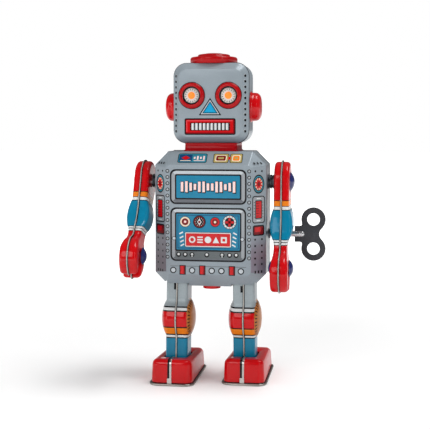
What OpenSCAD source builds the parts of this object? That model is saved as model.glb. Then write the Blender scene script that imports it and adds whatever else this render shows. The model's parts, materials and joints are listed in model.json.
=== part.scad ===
// Clockwork walking robot in printed tin plate, after the sparking toys of the 1950s.
// Front faces -Y, up is +Z, and the robot's own left hand is on +X. Millimetres.
// Modules draw in the robot's frame: X 0 is its plane of symmetry, Y 0 the middle of
// the shoulders, Z 0 the floor. placed() then moves that frame onto the part's origin.

/* [Tin] */
// Thickness of the tin plate
tin = 0.5; // [0.4:0.1:0.6]
// How far the crimped seam of an arm or leg stands out
seam = 0.8; // [0.5:0.1:1]

/* [Torso] */
// Width of the torso
torso_w = 68; // [67:0.5:70]
// Height of the torso
torso_h = 82; // [81:0.5:84]
// Height of the torso's underside above the floor
torso_z = 58; // [57.5:0.5:58.5]
// Distance of the torso's front face from the shoulders' axis
torso_front = 21; // [20.5:0.5:23]
// Distance of the torso's back face from the shoulders' axis
torso_back = 20; // [19.8:0.1:22]
// Width of the bevel round the torso's front and back
torso_bevel = 8.2; // [7:0.1:8.6]
// Y place of the seam between the torso's two shells
torso_seam = 7; // [6.5:0.1:8]

/* [Head] */
// Width of the head
head_w = 46; // [44:1:48]
// Height of the head
head_h = 48.3; // [46:0.1:50]
// Y place of the face
head_front = -13.5; // [-14:0.1:-13]
// Depth of the head
head_d = 31; // [30:1:33]
// Width of the bevel round the head's front and back
head_bevel = 3.8; // [3:0.1:4.2]
// Radius of the head's corners, seen from the front
head_corner = 8; // [6:0.5:9]
// Height of the neck
neck_h = 5; // [4:0.5:7]
// Diameter of the cap on the head
cap_d = 29; // [27:0.5:29]
// Diameter of an ear
ear_d = 17.8; // [16:0.2:19]
// How far an ear stands out from the head
ear_h = 6.4; // [6:0.2:8]

/* [Eyes] */
// Distance between the eyes' centres
eye_gap = 22.4; // [20:0.2:23]
// Height of the eyes above the head's underside
eye_up = 28.6; // [27:0.2:30]
// Outer diameter of an eye's ring
bezel_d = 15.8; // [14:0.2:16]
// Diameter of the opening in the face behind an eye's ring
eye_hole_d = 9.4; // [8:0.2:10]

/* [Arms] */
// Height of the shoulders' axis above the floor
shoulder_z = 121.3; // [120:0.1:122.5]
// X distance of an arm's seam from the middle
arm_x = 43; // [42.8:0.1:44]
// Thickness of an arm at the shoulder
arm_t = 9.4; // [8.6:0.2:9.4]
// Radius of the shoulder disc
shoulder_r = 12.2; // [11:0.1:13]
// Radius of an arm at the elbow
elbow_r = 7.5; // [6.5:0.1:7.6]
// Radius of a hand
hand_r = 12; // [11:0.1:12.5]
// Turn of the right arm ahead of the left, in degrees
arm_swing = 20; // [16:1:22]

/* [Legs] */
// X distance of a leg's seam from the middle
leg_x = 20.4; // [20:0.1:20.6]
// Width of a leg
leg_w = 13.5; // [12.9:0.1:13.5]
// Depth of a leg, front to back
leg_d = 15; // [14:0.5:15]
// Height of the hip rod above the floor
hip_z = 62; // [61.5:0.1:62.5]
// Y place of the hip rod
hip_y = -5.5; // [-5.8:0.1:-5.2]
// Lean of each leg from upright where it stands, in degrees
leg_lean = 4; // [3:0.5:4.5]
// Radius of the knee, seen from the side
knee_r = 12; // [10:0.1:12]
// Height of the knee above the floor
knee_z = 37.6; // [37:0.1:39.5]

/* [Feet] */
// Length of a sole
foot_l = 54; // [52:1:56]
// Width of a sole
sole_w = 26.8; // [26:0.2:27.4]
// Height of a foot at the toe
toe_h = 15.5; // [15:0.1:16.5]
// Height of a foot at the heel
heel_h = 12.5; // [12:0.1:13.5]
// Height of the ankle pin above the floor
ankle_z = 8; // [7.8:0.1:8.5]
// How far a foot's middle stands outside its leg's
foot_out = 1; // [0:0.1:1.3]

/* [Key] */
// X place of the key's far edge
key_reach = 68.9; // [67:0.1:70]
// Radius of each lobe of the key
lobe_r = 7.4; // [7:0.1:7.8]
// Radius of the hole in each lobe
lobe_hole_r = 3.9; // [3:0.1:4.2]
// Distance between the lobes' centres
lobe_gap = 18; // [17.5:0.1:19]
// Thickness of the key's plate
key_t = 1.6; // [1.4:0.1:1.8]

/* [Motor] */
// Tooth module of the great wheel and the pinions it drives
coarse = 0.7; // [0.7:0.1:0.7]
// Tooth module of the fast wheels
fine = 0.5; // [0.5:0.1:0.5]
// Turns of the mainspring
spring_turns = 9; // [5:1:9]

/* [Hidden] */
$fn = 48;
hair = 0.01;
slack = 0.05;
sunk = 0.04;
// Part frame: the middle of the whole object's box on the floor is its origin
arm_reach = arm_x + arm_t / 2 + 2.5;
hand_front = 19 * cos(arm_swing) + 53.3 * sin(arm_swing) + hand_r + seam;
heel_back = hip_y + (hip_z - ankle_z) * tan(leg_lean) + 6.5 + foot_l / 2;
shift_x = (arm_reach - key_reach) / 2;
shift_y = (hand_front - heel_back) / 2;

torso_y0 = -torso_front;
torso_d = torso_front + torso_back;
torso_mid = torso_z + torso_h / 2;
torso_top = torso_z + torso_h;
head_z = torso_top + neck_h;
head_mid = head_z + head_h / 2;
head_top = head_z + head_h;
head_seam = head_front + head_bevel + 1.6;
head_y = head_front + head_d / 2;
neck_size = [32, 26];
eye_z = head_z + eye_up;
ear_z = head_z + 22;
side_x = torso_w / 2;

// Side-view places are [Y, Z] pairs
shoulder = [0, shoulder_z];
elbow = [-6.3, -26.5];
wrist = [-11.5, -37];
hand = [-19, -53.3];
palm = [-16, -48.3];
palm_r = 7.4;
claw = 5.6;
hip = [hip_y, hip_z];
leg_top = 18;
leg_drop = (hip_z - ankle_z) / cos(leg_lean);
ankle_back = 6.5;
hip_rod_r = 1.25;
axle_r = 1.8;
arbor_r = 1.5;
fast_r = 0.9;
crank_offset = 2.2;
spring_r = 11.45;

// Wheels, from the mainspring outwards
great_n = 40;
pinion_n = 10;
second_n = 40;
arbor = [4.2, 89];
coarse_gap = coarse * (great_n + pinion_n) / 2;
fine_gap = fine * (second_n + pinion_n) / 2;
crank = [hip_y, arbor[1] - sqrt(pow(coarse_gap, 2) - pow(arbor[0] - hip_y, 2))];
second = [arbor[0], arbor[1] + coarse_gap];
governor = [arbor[0], second[1] + fine_gap];
sparker = [arbor[0], eye_z - 1];
crank_angle = atan2(crank[1] - arbor[1], crank[0] - arbor[0]);
// Turn from the line between the wheels to the great wheel's next tooth
great_pitch = 360 / great_n;
past_tooth = (90 - crank_angle) - great_pitch * floor((90 - crank_angle) / great_pitch);
plate_x = 11;
plate_t = 1;
belt_x = -3;
pulley_r = 3;
spark_x = 1;

foot_y = [for (s = [-1, 1]) hip_y + leg_drop * sin(s * leg_lean) + ankle_back];

// ---- Helpers ----

module placed() translate([shift_x, shift_y, 0]) children();

// Side-view drawing, its x as Y and its y as Z, pushed from x0 to x1 along X
module side_view(x0, x1, at = [0, 0])
    translate([min(x0, x1), at[0], at[1]]) rotate([90, 0, 90])
        linear_extrude(abs(x1 - x0)) children();

// Front-view drawing, its y as Z, pushed from y0 to y1 along Y
module front_view(y0, y1, at = [0, 0])
    translate([at[0], max(y0, y1), at[1]]) rotate([90, 0, 0])
        linear_extrude(abs(y1 - y0)) children();

// Solid of revolution about the X axis through a side-view place, its y pointing away from the middle
module turned(x0, at, side = 1)
    translate([x0, at[0], at[1]]) rotate([0, side * 90, 0]) rotate_extrude() children();

module rod(x0, x1, at, r)
    translate([min(x0, x1), at[0], at[1]]) rotate([0, 90, 0]) cylinder(r = r, h = abs(x1 - x0));

module cut_corners(w, h, c)
    polygon([
        [-w / 2 + c, -h / 2], [w / 2 - c, -h / 2], [w / 2, -h / 2 + c], [w / 2, h / 2 - c],
        [w / 2 - c, h / 2], [-w / 2 + c, h / 2], [-w / 2, h / 2 - c], [-w / 2, -h / 2 + c]
    ]);

module round_corners(w, h, r)
    hull()
        for (x = [-1, 1], y = [-1, 1])
            translate([x * (w / 2 - r), y * (h / 2 - r)]) circle(r, $fn = 32);

// Keeps what lies between two Y planes
module between_y(y0, y1)
    intersection() {
        children();
        translate([-100, y0, 0]) cube([200, y1 - y0, 250]);
    }

// ---- Torso ----

module torso_form(inset)
    hull() {
        for (y = [torso_y0 + inset, torso_back - inset - hair])
            front_view(y, y + hair, [0, torso_mid])
                cut_corners(torso_w - 2 * (torso_bevel + inset), torso_h - 2 * (torso_bevel + inset), 1.5);
        front_view(torso_y0 + torso_bevel + inset, torso_back - torso_bevel - inset, [0, torso_mid])
            cut_corners(torso_w - 2 * inset, torso_h - 2 * inset, torso_bevel);
    }

module leg_slots()
    for (s = [-1, 1])
        translate([s * leg_x - leg_w / 2 - 0.9, hip_y - leg_d / 2 - 1.5, torso_z - 3])
            cube([leg_w + 1.8, leg_d + 3, 7]);

module belt_hole()
    translate([belt_x, arbor[0], torso_top - 2]) cylinder(r = 5, h = neck_h + 4);

module torso_shell()
    difference() {
        torso_form(0);
        torso_form(tin);
        leg_slots();
        belt_hole();
        rod(-side_x - 1, side_x + 1, shoulder, 2.8);
        rod(side_x - 1, side_x + 1, arbor, 2.4);
    }

module torso_front_shell()
    color("lightslategray") between_y(torso_y0 - 1, torso_seam) torso_shell();

module torso_back_shell()
    color("slategray") between_y(torso_seam, torso_back + 1) torso_shell();

module torso_base_plate()
    color("firebrick")
        difference() {
            union() {
                translate([-25, -3, torso_z - 0.8]) cube([50, 14, 0.8]);
                translate([0, -6.2, torso_z - 1.9]) cylinder(r = 5.4, h = 1.9);
            }
            leg_slots();
        }

module shoulder_bush(s)
    color("dimgray")
        difference() {
            union() {
                rod(s * (side_x - 2), s * side_x, shoulder, 2.75);
                rod(s * side_x, s * (side_x + 1.7), shoulder, 4.3);
            }
            rod(s * (side_x - 3), s * (side_x + 3), shoulder, axle_r + slack);
        }

module winding_bush()
    color("dimgray")
        difference() {
            union() {
                rod(side_x - 1.5, side_x, arbor, 2.35);
                rod(side_x, side_x + 1, arbor, 3);
            }
            rod(side_x - 3, side_x + 3, arbor, arbor_r + slack);
        }

// ---- Neck and head ----

module neck()
    color("firebrick")
        translate([0, head_y, torso_top]) linear_extrude(neck_h)
            difference() {
                round_corners(neck_size[0], neck_size[1], 2);
                round_corners(neck_size[0] - 2 * tin, neck_size[1] - 2 * tin, 1.5);
            }

module head_form(inset)
    hull() {
        for (y = [head_front + inset, head_front + head_d - inset - hair])
            front_view(y, y + hair, [0, head_mid])
                round_corners(head_w - 2 * (head_bevel + inset), head_h - 2 * (head_bevel + inset), head_corner - 3);
        front_view(head_front + head_bevel + inset, head_front + head_d - head_bevel - inset, [0, head_mid])
            round_corners(head_w - 2 * inset, head_h - 2 * inset, head_corner);
    }

module eye_axis(s) translate([s * eye_gap / 2, head_front, eye_z]) rotate([90, 0, 0]) children();

module head_shell()
    difference() {
        head_form(0);
        head_form(tin);
        belt_hole();
        for (s = [-1, 1]) eye_axis(s) cylinder(r = eye_hole_d / 2, h = 4, center = true);
    }

module head_front_shell()
    color("lightslategray") between_y(head_front - 1, head_seam) head_shell();

module head_back_shell()
    color("slategray") between_y(head_seam, head_front + head_d + 1) head_shell();

// Low drum with a second, smaller dome and a sunk top
module head_cap()
    color("crimson")
        translate([0, head_y, head_top]) rotate_extrude()
            polygon([
                [cap_d / 2 - 0.5, 0], [cap_d / 2, 0], [cap_d / 2, 3.2], [cap_d / 2 - 0.9, 4.1],
                [10.2, 4.5], [9, 5.7], [5.6, 6.6], [4.8, 6.2], [0, 6.2],
                [0, 5.7], [4.8, 5.6], [8.7, 5], [9.9, 4], [cap_d / 2 - 0.9, 3.6]
            ]);

module ear(s)
    color("crimson")
        turned(s * head_w / 2, [head_y, ear_z], s)
            polygon([
                [ear_d / 2 - 0.5, 0], [ear_d / 2, 0], [ear_d / 2 - 0.3, ear_h - 1.6],
                [ear_d / 2 - 1.6, ear_h - 0.3], [ear_d / 2 - 3, ear_h], [0, ear_h],
                [0, ear_h - 0.5], [ear_d / 2 - 3, ear_h - 0.5], [ear_d / 2 - 1, ear_h - 1.8]
            ]);

// Sloping ring with a rolled inner edge
module eye_bezel(s)
    color("crimson")
        eye_axis(s) rotate_extrude()
            polygon([
                [eye_hole_d / 2 + 0.2, 0], [bezel_d / 2, 0], [bezel_d / 2 - 0.2, 0.5],
                [bezel_d / 2 - 1.6, 1.5], [eye_hole_d / 2 + 0.8, 1.7], [eye_hole_d / 2 + 0.2, 1.2]
            ]);

// Flange behind the face, and a low dome that looks out of the ring
module eye_lens(s)
    color("wheat")
        eye_axis(s) rotate_extrude()
            polygon([
                [0, -1.2], [6, -1.2], [6, -0.55], [eye_hole_d / 2 - 0.1, -0.55],
                [eye_hole_d / 2 - 0.1, 0.3], [3, 0.8], [0, 1]
            ]);

// ---- Spark works in the head ----

module spark_bracket()
    color("silver")
        difference() {
            union() {
                translate([-9, sparker[0] - 3, sparker[1] - 14]) cube([18, 6, 0.8]);
                for (x = [-9, 8.2])
                    translate([x, sparker[0] - 3, sparker[1] - 14]) cube([0.8, 6, 18]);
                for (x = [-9, 8.2])
                    translate([x, sparker[0] - 3, head_z + tin]) cube([0.8, 6, sparker[1] - 14 - head_z - tin]);
            }
            rod(-10, 10, sparker, 1 + slack);
            translate([belt_x - 2.5, sparker[0] - 4, sparker[1] - 15]) cube([5, 8, 3]);
        }

module spark_shaft()
    color("silver")
        difference() {
            union() {
                rod(-10, 10, sparker, 1);
                rod(belt_x - 1.4, belt_x - 0.8, sparker, pulley_r + 0.9);
                rod(belt_x - 0.8, belt_x + 0.8, sparker, pulley_r);
                rod(belt_x + 0.8, belt_x + 1.4, sparker, pulley_r + 0.9);
            }
        }

module spark_wheel()
    color("darkslategray")
        difference() {
            rod(spark_x, spark_x + 3, sparker, 6);
            rod(spark_x - 1, spark_x + 4, sparker, 1);
        }

module flint()
    color("dimgray")
        translate([spark_x + 1.5, sparker[0] + 6.1, sparker[1]]) rotate([-90, 0, 0]) cylinder(r = 1.2, h = 5);

// Leaf with a cup for the flint, bent up from the bracket's floor
module flint_spring()
    color("goldenrod")
        difference() {
            union() {
                translate([spark_x + 0.2, sparker[0] + 3, sparker[1] - 14]) cube([2.6, 6.9, 0.4]);
                translate([spark_x + 0.2, sparker[0] + 9.5, sparker[1] - 14]) cube([2.6, 0.4, 16.5]);
                translate([spark_x + 1.5, sparker[0] + 8.2, sparker[1]]) rotate([-90, 0, 0]) cylinder(r = 1.8, h = 1.7);
            }
            translate([spark_x + 1.5, sparker[0] + 6, sparker[1]]) rotate([-90, 0, 0]) cylinder(r = 1.2, h = 6);
        }

// Endless wire belt, standing just clear of both pulleys
module belt_loop(r)
    hull()
        for (z = [governor[1], sparker[1]])
            translate([arbor[0], z]) circle(r, $fn = 32);

module spark_belt()
    color("tan")
        side_view(belt_x - 0.35, belt_x + 0.35)
            difference() {
                belt_loop(pulley_r + 0.75);
                belt_loop(pulley_r + 0.12);
            }

// ---- Wheels ----

// Straight-flanked teeth, thinned so that a pair runs free; tooth 0 is centred on angle a0
function tooth(n, m, a0, k) = let (p = 360 / n, a = a0 + k * p, r = m * n / 2) [
    (r - 1.2 * m) * [cos(a - 0.29 * p), sin(a - 0.29 * p)],
    r * [cos(a - 0.2 * p), sin(a - 0.2 * p)],
    (r + 0.85 * m) * [cos(a - 0.08 * p), sin(a - 0.08 * p)],
    (r + 0.85 * m) * [cos(a + 0.08 * p), sin(a + 0.08 * p)],
    r * [cos(a + 0.2 * p), sin(a + 0.2 * p)],
    (r - 1.2 * m) * [cos(a + 0.29 * p), sin(a + 0.29 * p)]
];

module wheel(x0, x1, at, n, m, a0, bore)
    side_view(x0, x1, at)
        difference() {
            polygon([for (k = [0 : n - 1]) each tooth(n, m, a0, k)]);
            circle(bore);
        }

module great_wheel()
    color("goldenrod")
        difference() {
            wheel(3, 4.4, arbor, great_n, coarse, 90, arbor_r + slack);
            for (a = [0 : 72 : 288])
                rod(2, 5, arbor + 9.3 * [cos(a + 54), sin(a + 54)], 2.4);
        }

// Pawl that lets the ratchet turn one way, held just off its teeth
module click()
    color("silver") {
        rod(4.4, 5.9, arbor + [-7.4, 3.4], 1.2);
        side_view(4.6, 5.6, arbor) polygon([[-8.4, 3.2], [-7.2, 4.6], [-3.9, 3.75], [-4.9, 2.9]]);
    }

module ratchet_wheel()
    color("silver")
        side_view(4.5, 5.7, arbor)
            difference() {
                polygon([for (k = [0 : 11]) each [
                    3.2 * [cos(30 * k), sin(30 * k)],
                    4.4 * [cos(30 * k + 27), sin(30 * k + 27)]
                ]]);
                circle(arbor_r);
            }

module winding_arbor()
    color("dimgray") {
        rod(-plate_x - 1.8, 40, arbor, arbor_r);
        translate([40, arbor[0] - 1, arbor[1] - 1]) cube([11, 2, 2]);
    }

// Tube with a square socket at the inner end and a sawn slot that holds the plate
module key_tube()
    color("silver")
        difference() {
            union() {
                rod(41, 54.5, arbor, 1.9);
                translate([54.5, arbor[0], arbor[1]]) sphere(1.9);
            }
            translate([40, arbor[0] - 1.1, arbor[1] - 1.1]) cube([12, 2.2, 2.2]);
            translate([52.6, arbor[0] - key_t / 2, arbor[1] - 3]) cube([10, key_t, 6]);
        }

module key_outline() {
    lobe_x = key_reach - lobe_r;
    difference() {
        union() {
            for (s = [-1, 1]) translate([lobe_x, s * lobe_gap / 2]) circle(lobe_r);
            translate([lobe_x - 5.6, -lobe_gap / 2]) square([10.2, lobe_gap]);
            translate([50, -4.9]) square([lobe_x - 52, 9.8]);
        }
        for (s = [-1, 1]) translate([lobe_x, s * lobe_gap / 2]) circle(lobe_hole_r);
        translate([key_reach - 0.6, 0]) circle(3.4);
        translate([49, -2.2]) square([3.6, 4.4]);
    }
}

module key_handle()
    color("dimgray") front_view(arbor[0] - key_t / 2, arbor[0] + key_t / 2, [0, arbor[1]]) key_outline();

module second_arbor()
    color("silver") {
        rod(-plate_x - 1.8, plate_x + 1.8, second, fast_r);
        wheel(2.6, 4.9, second, pinion_n, coarse, -90 + 180 / pinion_n, fast_r - 0.2);
    }

module second_wheel()
    color("goldenrod") wheel(7.2, 8.3, second, second_n, fine, 90, fast_r);

module governor_arbor()
    color("silver") {
        rod(-plate_x - 1.8, plate_x + 1.8, governor, fast_r);
        wheel(6.9, 8.6, governor, pinion_n, fine, -90 + 180 / pinion_n, fast_r - 0.2);
        rod(belt_x - 1.4, belt_x - 0.8, governor, pulley_r + 0.9);
        rod(belt_x - 0.8, belt_x + 0.8, governor, pulley_r);
        rod(belt_x + 0.8, belt_x + 1.4, governor, pulley_r + 0.9);
    }

// Two-bladed air brake that keeps the works from racing
module governor_fan()
    color("silver")
        difference() {
            union() {
                rod(-9.6, -5.6, governor, 2);
                for (s = [-1, 1])
                    translate([-9.6, governor[0] + s * 4.6 - 3.2, governor[1] - 0.3]) cube([4, 6.4, 0.6]);
            }
            rod(-10, -5, governor, fast_r);
        }

module crank_shaft() color("silver") rod(-12.9, 12.9, crank, arbor_r);

module crank_pinion()
    color("goldenrod")
        wheel(2.6, 4.9, crank, pinion_n, coarse,
            crank_angle + 180 + 180 / pinion_n - past_tooth * great_n / pinion_n, arbor_r);

// Discs at the shaft's ends, each with a pin that works in a leg, half a turn apart
module crank_discs()
    color("silver")
        for (s = [-1, 1])
            difference() {
                union() {
                    rod(s * 12.15, s * 12.9, crank, 4);
                    rod(s * 12.9, s * 16, crank + [-s * crank_offset, 0], 1);
                }
                rod(s * 12, s * 13.1, crank, arbor_r);
            }

// ---- Motor frame ----

stud = arbor + [spring_r + 1.55, 0];
pillar_places = [[-12, 68], [13, 68], [-13, 124], [14.5, 124]];

module motor_plate(s)
    color("silver")
        difference() {
            side_view(s * plate_x, s * (plate_x + plate_t))
                polygon([[-11, torso_z + tin], [10, torso_z + tin], [19, 70], [19, 128], [-16, 128], [-16, 70]]);
            for (p = [arbor, crank]) rod(s * (plate_x - 1), s * (plate_x + 2), p, arbor_r + slack);
            for (p = [second, governor]) rod(s * (plate_x - 1), s * (plate_x + 2), p, fast_r + slack);
            rod(s * (plate_x - 1), s * (plate_x + 2), hip, hip_rod_r);
            for (p = pillar_places) rod(s * (plate_x - 1), s * (plate_x + 2), p, 1);
            if (s < 0) rod(-plate_x - 2, -plate_x + 1, stud, 1);
        }

// Four pillars between the plates, and the stud that holds the mainspring's outer end
module motor_pillars()
    color("goldenrod") {
        for (p = pillar_places) {
            rod(-plate_x, plate_x, p, 1.8);
            rod(-plate_x - 1.6, plate_x + 1.6, p, 1);
        }
        rod(-plate_x, -0.6, stud, 1.55);
        rod(-plate_x - 1.6, -plate_x, stud, 1);
    }

module hip_rod() color("silver") rod(-27.4, 27.4, hip, hip_rod_r);

// Flat spiral strip whose outer end meets the stud
function spiral_at(r0, r1, t) = let (r = r0 + (r1 - r0) * t) r * [cos(360 * spring_turns * t), sin(360 * spring_turns * t)];

module mainspring()
    color("steelblue")
        side_view(-9, -1, arbor) {
            steps = spring_turns * 24;
            polygon([
                for (i = [0 : steps]) spiral_at(2.2, spring_r - 0.45, i / steps),
                for (i = [steps : -1 : 0]) spiral_at(2.65, spring_r, i / steps)
            ]);
        }

// ---- Arms ----

// The four ends of the outer tangents of two circles, a little inside them
function tangents(a, ra, b, rb) =
    let (d = b - a, way = atan2(d[1], d[0]), open = acos((ra - rb) / norm(d)), qa = ra - sunk, qb = rb - sunk) [
        a + qa * [cos(way + open), sin(way + open)], b + qb * [cos(way + open), sin(way + open)],
        b + qb * [cos(way - open), sin(way - open)], a + qa * [cos(way - open), sin(way - open)]
    ];

// Side view of an arm hanging at the shoulder's axis, with the open claw of the hand
module arm_outline(inset) {
    places = [[0, 0], elbow, wrist, palm];
    radii = [shoulder_r, elbow_r, 6.6, palm_r];
    difference() {
        union() {
            for (i = [0 : 3]) translate(places[i]) circle(radii[i] - inset);
            for (i = [0 : 2])
                polygon(tangents(places[i], radii[i] - inset, places[i + 1], radii[i + 1] - inset));
            translate(hand) circle(hand_r - inset);
        }
        translate(hand) rotate(265) translate([0, -claw / 2 - inset]) square([20, claw + 2 * inset]);
        translate(hand) circle(claw / 2 + 1 + inset);
    }
}

// An arm's half, from the seam at x 0 outwards: wide rim, then a narrower raised field
module arm_half_shell()
    difference() {
        union() {
            side_view(0, arm_t / 2 - 1.1) arm_outline(0);
            side_view(arm_t / 2 - 1.1, arm_t / 2) arm_outline(1.2);
            side_view(0, 0.3) arm_outline(-seam);
        }
        side_view(-1, arm_t / 2 - 1.1 - tin) arm_outline(tin);
        side_view(-1, arm_t / 2 - tin) arm_outline(1.2 + tin);
        rod(-1, arm_t, [0, 0], axle_r);
    }

// s is the side, 1 for the left; the right arm stands ahead of the left by arm_swing
module on_shoulder(s)
    translate([0, shoulder[0], shoulder[1]]) rotate([s < 0 ? -arm_swing : 0, 0, 0]) children();

module arm_outer(s)
    color("crimson") on_shoulder(s) translate([s * arm_x, 0, 0]) mirror([s < 0 ? 1 : 0, 0, 0]) arm_half_shell();

module arm_inner(s)
    color("darkred") on_shoulder(s) translate([s * arm_x, 0, 0]) mirror([s < 0 ? 0 : 1, 0, 0]) arm_half_shell();

// Axle with a washer against the arm and a drive lever inside the torso
module arm_axle(s)
    color("silver") on_shoulder(s) {
        rod(s * 29.5, s * (arm_x + arm_t / 2 + 0.3), [0, 0], axle_r);
        rod(s * (side_x + 2), s * (arm_x - arm_t / 2), [0, 0], 3.5);
        side_view(s * 29.5, s * 30.7)
            hull() {
                circle(3.2);
                translate([0, -16]) circle(1.8);
            }
    }

module dome(r, h)
    rotate_extrude()
        polygon([[0, 0], [r, 0], [r, 0.5], [r * 0.88, h * 0.55], [r * 0.6, h * 0.85], [0, h]]);

module arm_domes(s)
    color("midnightblue") on_shoulder(s) {
        translate([s * (arm_x + arm_t / 2 + 0.3), 0, 0]) rotate([0, s * 90, 0]) dome(5.8, 2.2);
        for (t = [-1, 1])
            translate([s * arm_x + t * arm_t / 2, hand[0] + 5, hand[1] + 2]) rotate([0, t * 90, 0]) dome(4.6, 2.2);
    }

// ---- Legs ----

// Side view of an upright leg about the hip rod
module leg_outline(inset) {
    translate([-leg_d / 2 + inset, -leg_drop - 3 + inset])
        square([leg_d - 2 * inset, leg_drop + 3 + leg_top - 2 * inset]);
    translate([0, knee_z - hip_z]) circle(knee_r - inset);
}

// s is the side, 1 for the left; the right leg leans forward and the left leg back
module on_hip(s) translate([0, hip[0], hip[1]]) rotate([s * leg_lean, 0, 0]) children();

module leg_half_shell(inner)
    difference() {
        union() {
            side_view(0, leg_w / 2) leg_outline(0);
            translate([leg_w / 2, 0, knee_z - hip_z]) rotate([0, 90, 0]) dome(knee_r - 0.8, 3.2);
            intersection() {
                side_view(0, 0.3) leg_outline(-seam);
                side_view(-1, 1) translate([-20, -leg_drop - 3]) square([40, leg_drop - 1]);
            }
        }
        side_view(-1, leg_w / 2 - tin) leg_outline(tin);
        translate([leg_w / 2 - tin - hair, 0, knee_z - hip_z]) rotate([0, 90, 0]) dome(knee_r - 1.4, 3.2 - tin);
        rod(0, 8, [0, 0], hip_rod_r + slack);
        rod(0, 8, [0, -leg_drop], hip_rod_r + slack);
        if (inner) rod(0, 8, crank - hip, 5);
        side_view(-1, leg_w) translate([-leg_d, leg_top - tin]) square([2 * leg_d, 2]);
        side_view(-1, leg_w) translate([-leg_d, -leg_drop - 4]) square([2 * leg_d, 1 + tin]);
    }

module leg_outer(s)
    color("steelblue") on_hip(s) translate([s * leg_x, 0, 0]) mirror([s < 0 ? 1 : 0, 0, 0]) leg_half_shell(false);

module leg_inner(s)
    color("lightsteelblue") on_hip(s) translate([s * leg_x, 0, 0]) mirror([s < 0 ? 0 : 1, 0, 0]) leg_half_shell(true);

// ---- Feet, drawn about the middle of the sole ----

module on_foot(s) translate([s * (leg_x + foot_out), foot_y[s < 0 ? 0 : 1], 0]) children();

module ankle_pin(s)
    color("silver") on_foot(s) rod(-9.8, 9.8, [-ankle_back, ankle_z], hip_rod_r);

// Rounded shoe form, higher at the toe, narrowing upwards
module shoe_form(inset) {
    shell_w = sole_w - 1.8;
    shell_l = foot_l - 2.8;
    hull() {
        translate([0, 0, 1.2]) linear_extrude(0.1) round_corners(shell_w - 2 * inset, shell_l - 2 * inset, 4.5 - inset);
        for (x = [-1, 1]) {
            translate([x * (shell_w / 2 - 3.8), -shell_l / 2 + 4.2, toe_h - 3]) sphere(3 - inset, $fn = 24);
            translate([x * (shell_w / 2 - 3.8), shell_l / 2 - 4.2, heel_h - 3]) sphere(3 - inset, $fn = 24);
        }
    }
}

module foot_shell(s)
    color("crimson") on_foot(s)
        difference() {
            union() {
                shoe_form(0);
                translate([-0.4, -foot_l / 2 + 0.9, 1.2]) cube([0.8, 2, toe_h - 3]);
            }
            translate([0, 0, -hair]) shoe_form(tin);
            translate([-leg_w / 2 - 0.9 - s * foot_out, -ankle_back - leg_d / 2 - 2.2, ankle_z])
                cube([leg_w + 1.8, leg_d + 7, 12]);
            translate([-50, -50, 0]) cube([100, 100, 1.2]);
        }

// Flat sole with ears for the ankle pin and the roller
module sole(s)
    color("silver") on_foot(s)
        difference() {
            union() {
                linear_extrude(1.2) round_corners(sole_w, foot_l, 5.5);
                for (x = [-9.3, 8.5])
                    translate([x, -ankle_back - 3, 1]) cube([0.8, 6, ankle_z + 1]);
                for (x = [-5.4, 4.6])
                    translate([x, 12, 1]) cube([0.8, 5, 5]);
            }
            rod(-12, 12, [-ankle_back, ankle_z], hip_rod_r);
            rod(-12, 12, [14.5, 3.2], 1 + slack);
            translate([-4.2, 10.8, -1]) cube([8.4, 7.4, 4]);
        }

// Rubbing roller that grips the floor on the backward stroke
module sole_roller(s)
    color("dimgray") on_foot(s) {
        rod(-6, 6, [14.5, 3.2], 1);
        rod(-3.8, 3.8, [14.5, 3.2], 3.2);
    }

// ---- All nodes ----

placed() torso_front_shell();
placed() torso_back_shell();
placed() torso_base_plate();
placed() neck();
placed() head_front_shell();
placed() head_back_shell();
placed() head_cap();
placed() ear(1);  // left_ear
placed() ear(-1);  // right_ear
placed() eye_bezel(1);  // left_eye_bezel
placed() eye_bezel(-1);  // right_eye_bezel
placed() eye_lens(1);  // left_eye_lens
placed() eye_lens(-1);  // right_eye_lens
placed() shoulder_bush(1);  // left_shoulder_bush
placed() shoulder_bush(-1);  // right_shoulder_bush
placed() winding_bush();
placed() motor_plate(1);  // left_motor_plate
placed() motor_plate(-1);  // right_motor_plate
placed() motor_pillars();
placed() hip_rod();
placed() mainspring();
placed() spark_bracket();
placed() flint();
placed() flint_spring();
placed() spark_belt();
placed() great_wheel();
placed() click();
placed() winding_arbor();
placed() ratchet_wheel();
placed() key_tube();
placed() key_handle();
placed() second_arbor();
placed() second_wheel();
placed() crank_shaft();
placed() crank_pinion();
placed() crank_discs();
placed() governor_arbor();
placed() governor_fan();
placed() spark_shaft();
placed() spark_wheel();
placed() leg_outer(1);  // left_leg_outer
placed() leg_inner(1);  // left_leg_inner
placed() ankle_pin(1);  // left_ankle_pin
placed() foot_shell(1);  // left_foot_shell
placed() sole(1);  // left_sole
placed() sole_roller(1);  // left_sole_roller
placed() leg_outer(-1);  // right_leg_outer
placed() leg_inner(-1);  // right_leg_inner
placed() ankle_pin(-1);  // right_ankle_pin
placed() foot_shell(-1);  // right_foot_shell
placed() sole(-1);  // right_sole
placed() sole_roller(-1);  // right_sole_roller
placed() arm_outer(1);  // left_arm_outer
placed() arm_inner(1);  // left_arm_inner
placed() arm_axle(1);  // left_arm_axle
placed() arm_domes(1);  // left_arm_domes
placed() arm_outer(-1);  // right_arm_outer
placed() arm_inner(-1);  // right_arm_inner
placed() arm_axle(-1);  // right_arm_axle
placed() arm_domes(-1);  // right_arm_domes
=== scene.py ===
"""Looks of the printed tin clockwork robot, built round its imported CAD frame.

Shapes are drawn in millimetres in the robot's own frame: X 0 is its plane of symmetry,
Y 0 the shoulders' axis, Z 0 the floor, and it faces -Y. new_piece() turns that into
metres in the row's frame.
"""

import json
import math

import bmesh
import bpy
from mathutils import Matrix, Vector


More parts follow.
